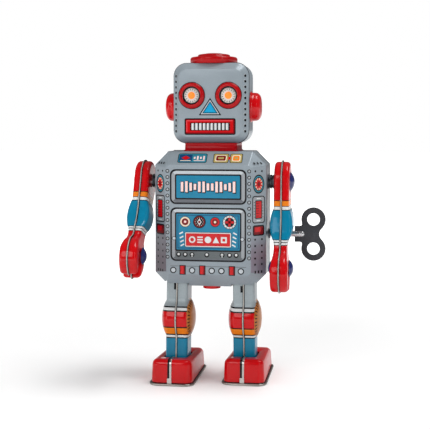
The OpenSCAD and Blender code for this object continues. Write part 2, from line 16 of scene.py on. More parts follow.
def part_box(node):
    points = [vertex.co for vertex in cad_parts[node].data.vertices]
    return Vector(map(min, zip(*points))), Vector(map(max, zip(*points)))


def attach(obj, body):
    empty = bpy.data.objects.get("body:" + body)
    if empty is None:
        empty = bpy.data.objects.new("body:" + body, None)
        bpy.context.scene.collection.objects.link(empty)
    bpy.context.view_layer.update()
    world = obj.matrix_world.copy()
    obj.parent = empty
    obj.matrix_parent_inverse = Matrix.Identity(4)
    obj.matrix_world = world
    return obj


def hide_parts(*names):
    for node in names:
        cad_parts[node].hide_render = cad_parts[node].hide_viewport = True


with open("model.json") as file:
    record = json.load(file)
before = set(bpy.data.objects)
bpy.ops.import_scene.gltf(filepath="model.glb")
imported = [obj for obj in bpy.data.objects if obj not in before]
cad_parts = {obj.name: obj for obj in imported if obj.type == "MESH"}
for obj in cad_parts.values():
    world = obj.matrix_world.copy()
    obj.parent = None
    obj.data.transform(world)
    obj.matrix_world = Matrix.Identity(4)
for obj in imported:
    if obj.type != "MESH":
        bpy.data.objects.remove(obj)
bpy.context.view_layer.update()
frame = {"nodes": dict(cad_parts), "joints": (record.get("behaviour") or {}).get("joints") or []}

# ---- The robot's frame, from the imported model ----

MM = 0.001
joint_at = {j["name"]: Vector(j["pos_m"]) for j in frame["joints"]}
torso_low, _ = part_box("torso_front_shell")
_, torso_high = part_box("torso_back_shell")
ORIGIN = Vector(((torso_low.x + torso_high.x) / 2, joint_at["left_arm_swing"].y, 0))


def local(point):
    """A place in the row's frame, in the robot's millimetres."""
    return (Vector(point) - ORIGIN) / MM


def local_box(node):
    low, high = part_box(node)
    return local(low), local(high)


SHOULDER = local(joint_at["left_arm_swing"])
HIP = local(joint_at["left_leg_swing"])
ARBOR = local(joint_at["winding"])
TIN = 0.5
# Sign of X, and the robot's own side
SIDES = ((-1, "right"), (1, "left"))

# ---- Materials ----

made = {}


def principled(name):
    mat = bpy.data.materials.new(name)
    mat.use_nodes = True
    return mat, mat.node_tree.nodes, mat.node_tree.links, mat.node_tree.nodes["Principled BSDF"]


def srgb(r, g, b):
    """Linear colour of an 8-bit screen colour."""
    def channel(c):
        c /= 255
        return c / 12.92 if c <= 0.04045 else ((c + 0.055) / 1.055) ** 2.4

    return (channel(r), channel(g), channel(b), 1)


def noise_node(nodes, links, per_mm, detail, coords):
    node = nodes.new("ShaderNodeTexNoise")
    node.inputs["Scale"].default_value = per_mm / MM
    node.inputs["Detail"].default_value = detail
    links.new(coords.outputs["Object"], node.inputs["Vector"])
    return node


def ramp_node(nodes, links, source, low, high, col_a, col_b):
    node = nodes.new("ShaderNodeValToRGB")
    node.color_ramp.elements[0].position = low
    node.color_ramp.elements[1].position = high
    node.color_ramp.elements[0].color = col_a
    node.color_ramp.elements[1].color = col_b
    links.new(source, node.inputs["Fac"])
    return node


def map_range(nodes, links, source, spans, smooth=False):
    """Maps source from one span to another: spans is from min, from max, to min, to max."""
    node = nodes.new("ShaderNodeMapRange")
    if smooth:
        node.interpolation_type = "SMOOTHSTEP"
    for key, value in zip(("From Min", "From Max", "To Min", "To Max"), spans):
        node.inputs[key].default_value = value
    links.new(source, node.inputs["Value"])
    return node.outputs["Result"]


def mix_colour(nodes, links, kind, factor, a, b):
    """A colour mix of sockets or plain colours, with a plain or linked factor."""
    node = nodes.new("ShaderNodeMix")
    node.data_type = "RGBA"
    node.blend_type = kind
    sockets = {"Factor": node.inputs[0], "A": node.inputs[6], "B": node.inputs[7]}
    for key, value in (("Factor", factor), ("A", a), ("B", b)):
        if isinstance(value, bpy.types.NodeSocket):
            links.new(value, sockets[key])
        else:
            sockets[key].default_value = value
    return node.outputs[2]


def shade(colour, k):
    return (colour[0] * k, colour[1] * k, colour[2] * k, 1)


def add_bump(nodes, links, bsdf, height, strength, distance_mm):
    bump = nodes.new("ShaderNodeBump")
    bump.inputs["Strength"].default_value = strength
    bump.inputs["Distance"].default_value = distance_mm * MM
    links.new(height, bump.inputs["Height"])
    links.new(bump.outputs["Normal"], bsdf.inputs["Normal"])


def lacquer(name, colour, rough=0.3, coat=0.2, metallic=0.0, mottle=0.05, shade_painted_below=None):
    """Litho ink under clear varnish: fine print grain, cloudy tone, faint orange peel.

    shade_painted_below is (low mm, high mm, colour): painted shade, the ink turns to that colour below low.
    """
    if name in made:
        return made[name]
    mat, nodes, links, bsdf = principled(name)
    coords = nodes.new("ShaderNodeTexCoord")
    cloud = noise_node(nodes, links, 0.06, 3, coords)
    grain = noise_node(nodes, links, 2.2, 2, coords)
    peel = noise_node(nodes, links, 0.35, 2, coords)
    low, high = 1 - mottle, 1 + mottle
    tone = ramp_node(nodes, links, cloud.outputs["Fac"], 0.35, 0.7, shade(colour, low), shade(colour, high))
    speck = ramp_node(nodes, links, grain.outputs["Fac"], 0.35, 0.65, (low,) * 3 + (1,), (high,) * 3 + (1,))
    ink = mix_colour(nodes, links, "MULTIPLY", 1.0, tone.outputs["Color"], speck.outputs["Color"])
    if shade_painted_below:
        split = nodes.new("ShaderNodeSeparateXYZ")
        links.new(coords.outputs["Object"], split.inputs["Vector"])
        rise = map_range(nodes, links, split.outputs["Z"], (shade_painted_below[0] * MM, shade_painted_below[1] * MM, 0, 1), smooth=True)
        ink = mix_colour(nodes, links, "MIX", rise, shade_painted_below[2], ink)
    links.new(ink, bsdf.inputs["Base Color"])
    gloss = map_range(nodes, links, peel.outputs["Fac"], (0, 1, rough - 0.06, rough + 0.08))
    links.new(gloss, bsdf.inputs["Roughness"])
    add_bump(nodes, links, bsdf, peel.outputs["Fac"], 0.08, 0.06)
    bsdf.inputs["Metallic"].default_value = metallic
    bsdf.inputs["Coat Weight"].default_value = coat
    bsdf.inputs["Coat Roughness"].default_value = 0.06
    bsdf.inputs["Specular IOR Level"].default_value = 0.08
    made[name] = mat
    return mat


def metal(name, colour, rough=0.3, stain=0.25, brush=0.0):
    """Bare metal with soft stains, and a brushed grain along X where brush is set."""
    if name in made:
        return made[name]
    mat, nodes, links, bsdf = principled(name)
    coords = nodes.new("ShaderNodeTexCoord")
    cloud = noise_node(nodes, links, 0.18, 4, coords)
    fine = noise_node(nodes, links, 1.6, 3, coords)
    if brush:
        squeeze = nodes.new("ShaderNodeMapping")
        squeeze.inputs["Scale"].default_value = (0.04, 1, 1)
        links.new(coords.outputs["Object"], squeeze.inputs["Vector"])
        links.new(squeeze.outputs["Vector"], fine.inputs["Vector"])
    tone = ramp_node(nodes, links, cloud.outputs["Fac"], 0.3, 0.75, shade(colour, 1 - stain), colour)
    links.new(tone.outputs["Color"], bsdf.inputs["Base Color"])
    gloss = map_range(nodes, links, cloud.outputs["Fac"], (0, 1, rough - 0.1, rough + 0.15))
    links.new(gloss, bsdf.inputs["Roughness"])
    add_bump(nodes, links, bsdf, fine.outputs["Fac"], 0.2 + brush, 0.05)
    bsdf.inputs["Metallic"].default_value = 1.0
    made[name] = mat
    return mat


def glow(name, colour, light, strength):
    """Translucent window with a steady painted glow, standing in for the sparks that light it from behind."""
    mat = lacquer(name, colour, rough=0.2)
    bsdf = mat.node_tree.nodes["Principled BSDF"]
    bsdf.inputs["Emission Color"].default_value = light
    bsdf.inputs["Emission Strength"].default_value = strength
    return mat


def body_grey(name, shade_painted_below=None):
    """The grey the torso and head are printed in."""
    return lacquer(name, srgb(139, 149, 156), rough=0.36, coat=0.15, metallic=0.15, shade_painted_below=shade_painted_below)


INK = {
    "grey": body_grey("tin_grey"),
    # Painted shade: the torso's bevels darken towards the bottom, and the +X bevel's copy darkens less,
    # painted light on the side that faces the light
    "chamfer": body_grey("tin_grey_bevel_painted_shade", (70, 104, srgb(104, 98, 106))),
    "chamfer_lit": body_grey("tin_grey_bevel_painted_light", (74, 96, srgb(136, 134, 146))),
    # Painted shade: the head's grey darkens along its lower edge
    "head_shade_painted_low": body_grey("tin_grey_head_painted_shade", (145, 150, srgb(104, 112, 122))),
    "red": lacquer("ink_red", srgb(190, 2, 10), coat=0.4),
    "neck_red": lacquer("ink_neck_red", srgb(150, 2, 12), coat=0.12),
    "ring_red": lacquer("ink_ring_red", srgb(164, 6, 12), coat=0.2),
    "deep_red": lacquer("ink_deep_red", srgb(112, 6, 14)),
    "rose": lacquer("ink_rose", srgb(222, 70, 78)),
    "orange": lacquer("ink_orange", srgb(222, 122, 30)),
    "gold": lacquer("ink_gold", srgb(176, 110, 52)),
    "olive": lacquer("ink_olive", srgb(168, 150, 90)),
    "cream": lacquer("ink_cream", srgb(228, 214, 190)),
    "white": lacquer("ink_white", srgb(212, 214, 214)),
    "pink": lacquer("ink_pink_white", srgb(240, 206, 200)),
    "blue": lacquer("ink_blue", srgb(2, 118, 152), coat=0.4),
    "sky": lacquer("ink_sky", srgb(24, 150, 196)),
    "deep_blue": lacquer("ink_deep_blue", srgb(14, 60, 104)),
    "teal": lacquer("ink_teal", srgb(40, 120, 140)),
    "navy": lacquer("ink_navy", srgb(30, 38, 96), rough=0.2, coat=0.5),
    "black": lacquer("ink_black", srgb(14, 14, 18), mottle=0.2),
    "strip": lacquer("ink_strip_grey", srgb(94, 100, 102)),
    "frame_light": lacquer("ink_frame_light", srgb(184, 190, 195), metallic=0.15),
    "frame_mid": lacquer("ink_frame_mid", srgb(146, 150, 154), metallic=0.2),
    "frame_dark": lacquer("ink_frame_dark", srgb(98, 102, 108), metallic=0.2),
    "tin": metal("bare_tin", srgb(206, 204, 200), rough=0.28),
    "seam": lacquer("crimped_seam", srgb(196, 194, 188), rough=0.3, metallic=0.4, mottle=0.15),
    "sole": metal("sole_tin", srgb(176, 172, 166), rough=0.34, stain=0.35),
    "steel": metal("bright_steel", srgb(200, 200, 202), rough=0.24, brush=0.3),
    "gunmetal": metal("gunmetal", srgb(92, 94, 100), rough=0.35),
    "blued": metal("blued_steel", srgb(84, 96, 118), rough=0.3),
    "brass": metal("stamped_brass", srgb(206, 168, 92), rough=0.3),
    "rubber": lacquer("dull_rubber", srgb(40, 38, 38), rough=0.8, coat=0.0),
    "flint": lacquer("flint_stone", srgb(92, 86, 80), rough=0.7, coat=0.0, mottle=0.3),
    "cord": lacquer("belt_cord", srgb(150, 128, 92), rough=0.85, coat=0.0, mottle=0.3),
    "key": lacquer("key_black", srgb(54, 55, 59), rough=0.42, mottle=0.18),
    "cap_top": lacquer("cap_top_brown", srgb(120, 98, 90)),
    "lens": lacquer("lens_pale", srgb(206, 200, 194), rough=0.2),
    # The eye windows' middles glow with no lamp behind them: painted glow
    "spark": glow("lens_painted_glow", srgb(236, 120, 40), srgb(255, 130, 50), 0.45),
}

# ---- Mesh building ----


def new_piece(name, bm, inks, body, replaces=(), smooth=True, matrix=None):
    """A piece from a bmesh in the robot's millimetres. matrix is applied before the change of units."""
    bmesh.ops.remove_doubles(bm, verts=bm.verts, dist=1e-5)
    bmesh.ops.recalc_face_normals(bm, faces=bm.faces)
    mesh = bpy.data.meshes.new(name)
    whole = Matrix.Translation(ORIGIN) @ Matrix.Scale(MM, 4) @ (matrix or Matrix.Identity(4))
    bm.transform(whole)
    if whole.determinant() < 0:
        bmesh.ops.reverse_faces(bm, faces=bm.faces)
    bm.to_mesh(mesh)
    bm.free()
    for ink in inks:
        mesh.materials.append(INK[ink])
    if smooth:
        mesh.shade_smooth()
    obj = bpy.data.objects.new(name, mesh)
    bpy.context.scene.collection.objects.link(obj)
    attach(obj, body)
    if replaces:
        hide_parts(*replaces)
    return obj


def bevel(obj, width, segments=3, angle=25):
    mod = obj.modifiers.new("bevel", "BEVEL")
    mod.width = width * MM
    mod.segments = segments
    mod.limit_method = "ANGLE"
    mod.angle_limit = math.radians(angle)
    return obj


def solidify(obj, thickness=TIN):
    mod = obj.modifiers.new("wall", "SOLIDIFY")
    mod.thickness = thickness * MM
    mod.offset = -1
    mod.use_even_offset = True
    return obj


def even_normals(obj):
    mod = obj.modifiers.new("normals", "WEIGHTED_NORMAL")
    mod.keep_sharp = True
    mod.weight = 80
    return obj


def apply_modifiers(obj):
    graph = bpy.context.evaluated_depsgraph_get()
    mesh = bpy.data.meshes.new_from_object(obj.evaluated_get(graph))
    obj.modifiers.clear()
    obj.data = mesh
    return obj


def cut(obj, cutters):
    """Takes closed cutters, bmeshes in the robot's millimetres, out of a piece."""
    for bm in cutters:
        bmesh.ops.recalc_face_normals(bm, faces=bm.faces)
        bm.transform(Matrix.Translation(ORIGIN) @ Matrix.Scale(MM, 4))
        mesh = bpy.data.meshes.new("cutter")
        bm.to_mesh(mesh)
        bm.free()
        tool = bpy.data.objects.new("cutter", mesh)
        bpy.context.scene.collection.objects.link(tool)
        mod = obj.modifiers.new("cut", "BOOLEAN")
        mod.operation = "DIFFERENCE"
        mod.object = tool
        mod.solver = "EXACT"
        apply_modifiers(obj)
        bpy.data.objects.remove(tool)
    return obj


def box_mesh(low, high):
    bm = bmesh.new()
    bmesh.ops.create_cube(bm, size=1)
    low, high = Vector(low), Vector(high)
    bmesh.ops.scale(bm, vec=high - low, verts=bm.verts)
    bmesh.ops.translate(bm, vec=(low + high) / 2, verts=bm.verts)
    return bm


def rod_mesh(start, end, radius, segments=48):
    bm = bmesh.new()
    start, end = Vector(start), Vector(end)
    turn = (end - start).to_track_quat("Z", "Y").to_matrix().to_4x4()
    bmesh.ops.create_cone(
        bm, cap_ends=True, segments=segments, radius1=radius, radius2=radius, depth=(end - start).length,
        matrix=Matrix.Translation((start + end) / 2) @ turn)
    return bm


def loft(rings, cap_start=True, cap_end=True, inks=None, bm=None):
    """Joins closed rings of the same number of points. inks[i] is the slot between rings i and i + 1."""
    bm = bmesh.new() if bm is None else bm
    rows = [[bm.verts.new(p) for p in ring] for ring in rings]
    count = len(rings[0])
    for i, (a, b) in enumerate(zip(rows, rows[1:])):
        for k in range(count):
            face = bm.faces.new((a[k], a[(k + 1) % count], b[(k + 1) % count], b[k]))
            face.material_index = inks[i] if inks else 0
    if cap_start:
        bm.faces.new(rows[0]).material_index = inks[0] if inks else 0
    if cap_end:
        bm.faces.new(rows[-1]).material_index = inks[-1] if inks else 0
    return bm


def add_mesh(bm, extra):
    """Moves the geometry of one bmesh into another."""
    mesh = bpy.data.meshes.new("extra")
    extra.to_mesh(mesh)
    extra.free()
    bm.from_mesh(mesh)
    bpy.data.meshes.remove(mesh)


def arc(cx, cy, r, a0, a1, steps):
    """Points of an arc, angles in degrees."""
    angles = [math.radians(a0 + (a1 - a0) * i / steps) for i in range(steps + 1)]
    return [(cx + r * math.cos(a), cy + r * math.sin(a)) for a in angles]


def round_rect(w, h, r, steps=6):
    """Outline of a rounded rectangle about 0, anticlockwise from its right side."""
    x, y = w / 2 - r, h / 2 - r
    return (arc(x, -y, r, -90, 0, steps) + arc(x, y, r, 0, 90, steps)
            + arc(-x, y, r, 90, 180, steps) + arc(-x, -y, r, 180, 270, steps))


def cut_rect(w, h, c):
    """Outline of a rectangle with its corners cut off."""
    x, y = w / 2, h / 2
    return [(x - c, -y), (x, -y + c), (x, y - c), (x - c, y),
            (-x + c, y), (-x, y - c), (-x, -y + c), (-x + c, -y)]


def front_ring(outline, y, cx, cz):
    return [(cx + u, y, cz + v) for u, v in outline]


def lathe(profile, centre, axis, segments=64, inks=None):
    """A closed solid of revolution. The profile is (distance along axis, radius) pairs, end to end."""
    turn = Vector(axis).to_track_quat("Z", "Y").to_matrix().to_4x4()
    place = Matrix.Translation(centre) @ turn
    rings = []
    for along, radius in profile:
        circle = arc(0, 0, max(radius, 0.02), 0, 360, segments)[:-1]
        rings.append([place @ Vector((x, y, along)) for x, y in circle])
    return loft(rings, inks=inks)


# ---- Printing ----


class Sheet:
    """Flat printed shapes laid on a facet. level says how many films of ink lie under a shape."""

    FILM = 0.03

    def __init__(self, name, origin, u, v, body="body", slot="grey_tin"):
        self.name, self.body, self.slot = name, body, slot
        self.origin, self.u, self.v = Vector(origin), Vector(u).normalized(), Vector(v).normalized()
        self.n = self.u.cross(self.v)
        self.bm = bmesh.new()
        self.inks = []

    def at(self, u, v, h):
        return self.origin + self.u * u + self.v * v + self.n * h

    def shape(self, points, ink, level=1):
        if ink not in self.inks:
            self.inks.append(ink)
        slot = self.inks.index(ink)
        top = [self.bm.verts.new(self.at(u, v, level * self.FILM)) for u, v in points]
        low = [self.bm.verts.new(self.at(u, v, -0.02)) for u, v in points]
        count = len(points)
        faces = [self.bm.faces.new(top), self.bm.faces.new(low[::-1])]
        for k in range(count):
            faces.append(self.bm.faces.new((low[k], low[(k + 1) % count], top[(k + 1) % count], top[k])))
        for face in faces:
            face.material_index = slot

    def rect(self, cx, cy, w, h, ink, level=1, r=0.0, lean=0.0):
        x, y = w / 2, h / 2
        points = round_rect(w, h, r, 5) if r else [(x, -y), (x, y), (-x, y), (-x, -y)]
        cos, sin = math.cos(math.radians(lean)), math.sin(math.radians(lean))
        self.shape([(cx + u * cos - v * sin, cy + u * sin + v * cos) for u, v in points], ink, level)

    def plates(self, cx, cy, stack, level=1):
        """Rectangles of (width, height, ink, corner), each on top of the one before."""
        for i, (w, h, ink, r) in enumerate(stack):
            self.rect(cx, cy, w, h, ink, level + i, r)

    def disc(self, cx, cy, r, ink, level=1, stretch=1.0, steps=28):
        self.shape([(u, cy + (v - cy) * stretch) for u, v in arc(cx, cy, r, 0, 360, steps)[:-1]], ink, level)

    def rings(self, cx, cy, stack, level=1, stretch=1.0):
        """Discs of (radius, ink), each on top of the one before."""
        for i, (r, ink) in enumerate(stack):
            self.disc(cx, cy, r, ink, level + i, stretch)

    def ray(self, cx, cy, r0, r1, width, angle, ink, level=1, stretch=1.0):
        a = math.radians(angle)
        along, across = (math.cos(a), math.sin(a)), (-math.sin(a) * width / 2, math.cos(a) * width / 2)
        ends = [(r0, 1), (r0, -1), (r1, -1), (r1, 1)]
        self.shape([(cx + along[0] * r + across[0] * s, cy + (along[1] * r + across[1] * s) * stretch)
                    for r, s in ends], ink, level)

    def bevel_frame(self, cx, cy, w, h, inset, r, level):
        """A printed frame that looks bevelled: light along the top, dark along the bottom."""
        x, y, i, c = w / 2, h / 2, inset, r * 0.3
        self.rect(cx, cy, w, h, "frame_mid", level, r)
        edge = [(-x + c, y - c), (-x + i, y - i), (x - i, y - i), (x - c, y - c), (x - r, y), (-x + r, y)]
        for t, ink in ((1, "frame_light"), (-1, "frame_dark")):
            self.shape([(cx + u, cy + t * v) for u, v in edge], ink, level + 1)

    def done(self):
        bmesh.ops.recalc_face_normals(self.bm, faces=self.bm.faces)
        return new_piece(self.name, self.bm, self.inks, self.body, smooth=False)


# ---- Torso ----

t_low, t_high = local(torso_low), local(torso_high)
TORSO_W = t_high.x - t_low.x
TORSO_H = t_high.z - t_low.z
TORSO_MID = (t_high.z + t_low.z) / 2
BEVEL = 8.2
SEAM_Y = local_box("torso_front_shell")[1].y
GAP = 0.15


def torso_rings(ends):
    """Rings of (y, inset, corner) about the torso's middle."""
    return [front_ring(cut_rect(TORSO_W - 2 * i, TORSO_H - 2 * i, c), y, 0, TORSO_MID) for y, i, c in ends]


def torso_cutters():
    """Slots for the legs, then bores for the shoulders. A bore cut first leaves a slot capped."""
    tools = []
    for s in (-1, 1):
        low = (s * HIP.x - 7.6, HIP.y - 9, t_low.z - 3)
        high = (s * HIP.x + 7.6, HIP.y + 9, t_low.z + 3)
        tools.append(box_mesh(low, high))
    for s in (-1, 1):
        inside, outside = s * (TORSO_W / 2 - 4), s * (TORSO_W / 2 + 4)
        tools.append(rod_mesh((inside, 0, SHOULDER.z), (outside, 0, SHOULDER.z), 2.8))
    return tools


bm = loft(torso_rings([(t_low.y, BEVEL, 1.6), (t_low.y + BEVEL, 0, BEVEL), (SEAM_Y - 1.2 - GAP, 0, BEVEL),
                       (SEAM_Y - 0.6 - GAP, -0.3, BEVEL), (SEAM_Y - GAP, -0.3, BEVEL)]), cap_end=False)
# The bevels beside the front darken towards the bottom, painted shade, the +X bevel less so as painted light
# on the side that faces the light; a black line before the seam is painted shadow in its gap
for face in bm.faces:
    face.normal_update()
    if abs(abs(face.normal.x) - abs(face.normal.y)) < 0.2 and abs(face.normal.z) < 0.2:
        face.material_index = 1 if face.calc_center_median().x < 0 else 2
    depths = [v.co.y for v in face.verts]
    if min(depths) > SEAM_Y - 1.3 - GAP and max(depths) < SEAM_Y - 0.5 - GAP:
        face.material_index = 3
front = new_piece("torso_front", bm, ["grey", "chamfer", "chamfer_lit", "black"], "body",
                  ["torso_front_shell"])
cut(even_normals(solidify(bevel(front, 1.0))), torso_cutters())

back_ends = [(SEAM_Y + GAP, 0, BEVEL), (t_high.y - BEVEL, 0, BEVEL), (t_high.y, BEVEL, 1.6)]
bm = loft(torso_rings(back_ends), cap_start=False)
back = new_piece("torso_back", bm, ["grey"], "body", ["torso_back_shell"])
even_normals(solidify(bevel(back, 1.0)))

# ---- Neck and head ----

n_low, n_high = local_box("neck")
h_low, _ = local_box("head_front_shell")
hb_low, h_high = local_box("head_back_shell")
HEAD_W = h_high.x - h_low.x
HEAD_H = h_high.z - h_low.z
HEAD_MID = (h_high.z + h_low.z) / 2
HEAD_Y = (h_low.y + h_high.y) / 2
HEAD_SEAM = hb_low.y
HEAD_BEVEL = 3.8
CORNER = 8.0

neck_w, neck_d, neck_y = n_high.x - n_low.x, n_high.y - n_low.y, (n_low.y + n_high.y) / 2
flares = [(n_low.z, 1.6), (n_low.z + 0.5, 1.6), (n_low.z + 0.9, 0.2), (n_high.z - 0.6, 0), (n_high.z, 0.4)]
rings = []
for z, grow in flares:
    rings.append([(u, neck_y + v, z) for u, v in round_rect(neck_w + grow, neck_d + grow, 2)])
bm = loft(rings)
new_piece("neck_collar", bm, ["neck_red"], "body", ["neck"])


def head_rings(ends):
    return [front_ring(round_rect(HEAD_W - 2 * i, HEAD_H - 2 * i, r, 8), y, 0, HEAD_MID) for y, i, r in ends]


eye_low, eye_high = local_box("left_eye_bezel")
EYE_X, EYE_Z = (eye_low.x + eye_high.x) / 2, (eye_low.z + eye_high.z) / 2

# A black ring on the lip just before the seam is painted shadow in the seam's gap
bm = loft(head_rings([(h_low.y, HEAD_BEVEL, CORNER - 3), (h_low.y + HEAD_BEVEL, 0, CORNER),
                      (HEAD_SEAM - 0.7 - GAP, 0, CORNER), (HEAD_SEAM - 0.35 - GAP, -0.3, CORNER),
                      (HEAD_SEAM - GAP, -0.3, CORNER)]), cap_end=False, inks=[0, 0, 1, 0])
face_piece = new_piece("head_front", bm, ["head_shade_painted_low", "black"], "body", ["head_front_shell"])
solidify(bevel(face_piece, 1.3, 4, 20))
eye_bores = []
for x in (-EYE_X, EYE_X):
    eye_bores.append(rod_mesh((x, h_low.y - 3, EYE_Z), (x, h_low.y + 3, EYE_Z), 4.7))
cut(even_normals(face_piece), eye_bores)

bm = loft(head_rings([(HEAD_SEAM + GAP, 0, CORNER), (h_high.y - HEAD_BEVEL, 0, CORNER),
                      (h_high.y, HEAD_BEVEL, CORNER - 3)]), cap_start=False)
head_back = new_piece("head_back", bm, ["grey"], "body", ["head_back_shell"])
even_normals(solidify(bevel(head_back, 1.3, 4, 20)))

c_low, c_high = local_box("head_cap")
CAP_R = (c_high.x - c_low.x) / 2
cap_z = c_low.z
profile = [(0, CAP_R - 0.3), (0.25, CAP_R), (2.9, CAP_R)]
profile += [(v, u) for u, v in arc(CAP_R - 1.3, 2.9, 1.3, 10, 80, 6)]
profile += [(4.5, 10.4), (4.6, 10.1)] + [(v, u) for u, v in arc(8.8, 4.7, 1.2, 20, 85, 5)]
profile += [(6.35, 5.6), (6.5, 5.1), (6.45, 4.8), (6.15, 4.6), (6.05, 0)]
bm = lathe(profile, (0, HEAD_Y, cap_z), (0, 0, 1), 96, [0] * (len(profile) - 2) + [1])
new_piece("head_top_cap", bm, ["ring_red", "cap_top"], "body", ["head_cap"])

for s, side in SIDES:
    e_low, e_high = local_box(f"{side}_ear")
    ear_r, ear_h = (e_high.z - e_low.z) / 2, e_high.x - e_low.x
    profile = [(0, ear_r + 0.5), (0.4, ear_r + 0.5), (0.6, ear_r - 0.1)]
    profile += [(ear_h - 3.4 + 3.3 * math.sin(a), ear_r - 0.3 - 3.8 * (1 - math.cos(a)))
                for a in (math.radians(9 * k) for k in range(11))]
    profile += [(ear_h - 0.1, 3), (ear_h - 0.15, 0)]
    bm = lathe(profile, (s * HEAD_W / 2, HEAD_Y, (e_low.z + e_high.z) / 2), (s, 0, 0), 80)
    new_piece(f"{side}_ear_cap", bm, ["red"], "body", [f"{side}_ear"])

    eye = Vector((s * EYE_X, h_low.y, EYE_Z))
    profile = [(0, 8.2), (0.12, 8.2), (0.13, 7.8), (0.6, 7.75)]
    profile += [(1.15, 7.3), (1.5, 6.8), (1.65, 6.2), (1.55, 5.7), (1.3, 5.5)]
    inks = [1] * 2 + [0] * 6 + [1] * 3
    profile += [(1.2, 5.1), (0.9, 4.75), (-0.4, 4.7)]
    bm = lathe(profile, eye, (0, -1, 0), 72, inks)
    new_piece(f"{side}_eye_ring", bm, ["ring_red", "black"], "body", [f"{side}_eye_bezel"])
    profile = [(-0.9, 4.65), (0.3, 4.65), (0.55, 4.2), (0.95, 2.2)]
    # The window's middle takes the painted glow
    bm = lathe(profile + [(1.0, 2.1), (1.25, 1.6), (1.35, 0)], eye, (0, -1, 0), 48, [0, 0, 0, 1, 1, 1])
    new_piece(f"{side}_eye_window", bm, ["lens", "spark"], "body", [f"{side}_eye_lens"])
    ticks = Sheet(f"{side}_eye_ticks", eye + Vector((0, -0.66, 0)), (1, 0, 0), (0, 0, 1))
    for k in range(16):
        ticks.ray(0, 0, 2.7, 4.1, 0.4, k * 22.5 + 11, "strip", 3)
    ticks.done()

# ---- Face printing ----

face = Sheet("face_print", (0, h_low.y, 0), (1, 0, 0), (0, 0, 1))


def triangle(cx, low, high, half, grow):
    """A triangle whose sides are moved out by grow."""
    slope = math.hypot(half, high - low)
    lift = grow * slope / half
    side_shift = grow * (slope + half) / (high - low)
    return [(cx - half - side_shift, low - grow), (cx + half + side_shift, low - grow), (cx, high + lift)]


NOSE = [(0.0, "black"), (-0.65, "frame_light"), (-1.15, "black"), (-1.45, "blue")]
for i, (grow, ink) in enumerate(NOSE):
    face.shape(triangle(0, 161.7, 172.2, 6.9, grow), ink, 1 + i)
face.shape(triangle(0, 162.5, 171.2, 5.5, -1.2), "sky", 5)
MOUTH_Z = 154.9
face.plates(0, MOUTH_Z, [(31.2, 10.0, "black", 1.0), (29.8, 8.6, "deep_red", 0.6)])
face.rect(-0.25, MOUTH_Z + 0.2, 28.8, 7.6, "red", 3, 0.4)
face.rect(-0.25, MOUTH_Z + 3.5, 28.0, 0.5, "rose", 4)
face.rect(-14.2, MOUTH_Z + 0.3, 0.5, 6.8, "rose", 4)
face.plates(0, MOUTH_Z, [(24.6, 5.0, "deep_red", 0.3), (23.8, 4.4, "black", 0.3)], 4)
for k in range(10):
    x = (k - 4.5) * 2.33
    face.rect(x, MOUTH_Z, 1.6, 4.0, "white", 6, 0.25)
    face.rect(x + 0.55, MOUTH_Z, 0.4, 3.8, "frame_mid", 7)
face.done()

for s, side in SIDES:
    mid = Vector((s * (HEAD_W / 2 - HEAD_BEVEL / 2), h_low.y + HEAD_BEVEL / 2, 0))
    rivets = Sheet(f"head_rivets_{side}", mid, (1, s, 0), (0, 0, 1))
    for k in range(11):
        rivets.disc(-0.15 * s, 152.25 + 3.33 * k, 0.95, "frame_light", 1)
        rivets.disc(0, 152.1 + 3.33 * k, 0.85, "black", 2)
    rivets.done()

# ---- Torso printing ----

chest = Sheet("chest_print", (0, t_low.y, 0), (1, 0, 0), (0, 0, 1))
RIVETS, RIVET_GAP = 15, 3.7
RIVET = [(1.15, "black"), (0.7, "frame_mid")]
for s in (-1, 1):
    for k in range(RIVETS):
        chest.rings(s * 24.7, 128.3 - RIVET_GAP * k, RIVET)
        chest.disc(s * 24.7 + 0.2, 128.5 - RIVET_GAP * k, 0.3, "frame_light", 3)

# Upper window: a bevelled frame round a blue panel with a row of bars
UPPER_Z = 118.9
chest.rect(0, UPPER_Z, 46.4, 21.0, "black", 1, 3.4)
chest.bevel_frame(0, UPPER_Z, 44.4, 19, 2.4, 2.8, 2)
chest.plates(0, UPPER_Z, [(40.2, 15.2, "black", 0.9), (38.4, 13.4, "blue", 0.5)], 4)
for k in range(13):
    height = 2.6 + 4.0 * abs(math.sin(0.9 + k * 0.83))
    x = (k - 6) * 2.62
    chest.rect(x + 0.25, UPPER_Z - 0.2, 2.2, height + 0.9, "black", 6)
    chest.rect(x, UPPER_Z, 1.5, height, "pink", 7)

# Lower window: dials over a red plate, in the same frame
LOWER_Z, PANEL_Z, DIAL_Z, SIGN_Z, KEYS_Z = 90.25, 91.9, 97.9, 87.2, 78.1
chest.rect(0, LOWER_Z, 46.0, 32.4, "black", 1, 3.4)
chest.bevel_frame(0, LOWER_Z, 44, 30.4, 2.4, 2.8, 2)
chest.plates(0, PANEL_Z, [(40.2, 23.4, "black", 0.9), (38.4, 21.6, "blue", 0.5),
                          (37.0, 20.2, "deep_blue", 0.4), (36.2, 19.4, "blue", 0.4)], 4)
chest.rect(0, KEYS_Z, 40.0, 4.6, "strip", 4, 0.4)
for x, key in ((-17.9, 0), (-13.9, 0), (-9.7, 1), (-0.7, 0), (8.5, 1), (13.0, 0), (17.0, 0)):
    chest.disc(x, KEYS_Z, 1.5, "black", 5)
    chest.disc(x, 78.3, 0.75, "white", 6)
    if key:
        chest.rect(x, 77.4, 0.6, 1.4, "white", 6)
for s in (-1, 1):
    chest.rings(s * 20.7, 87.8, [(1.2, "black"), (0.9, "frame_light")], 6)
    for k, z in enumerate((91.1, 88.6, 86.2, 83.9)):
        chest.rect(s * (16.3 - 0.25 * k), z, 2.4, 0.8, "white", 8, 0.0, -s * 28)
STAR_X, WHEEL_X = -5.2, 13.0
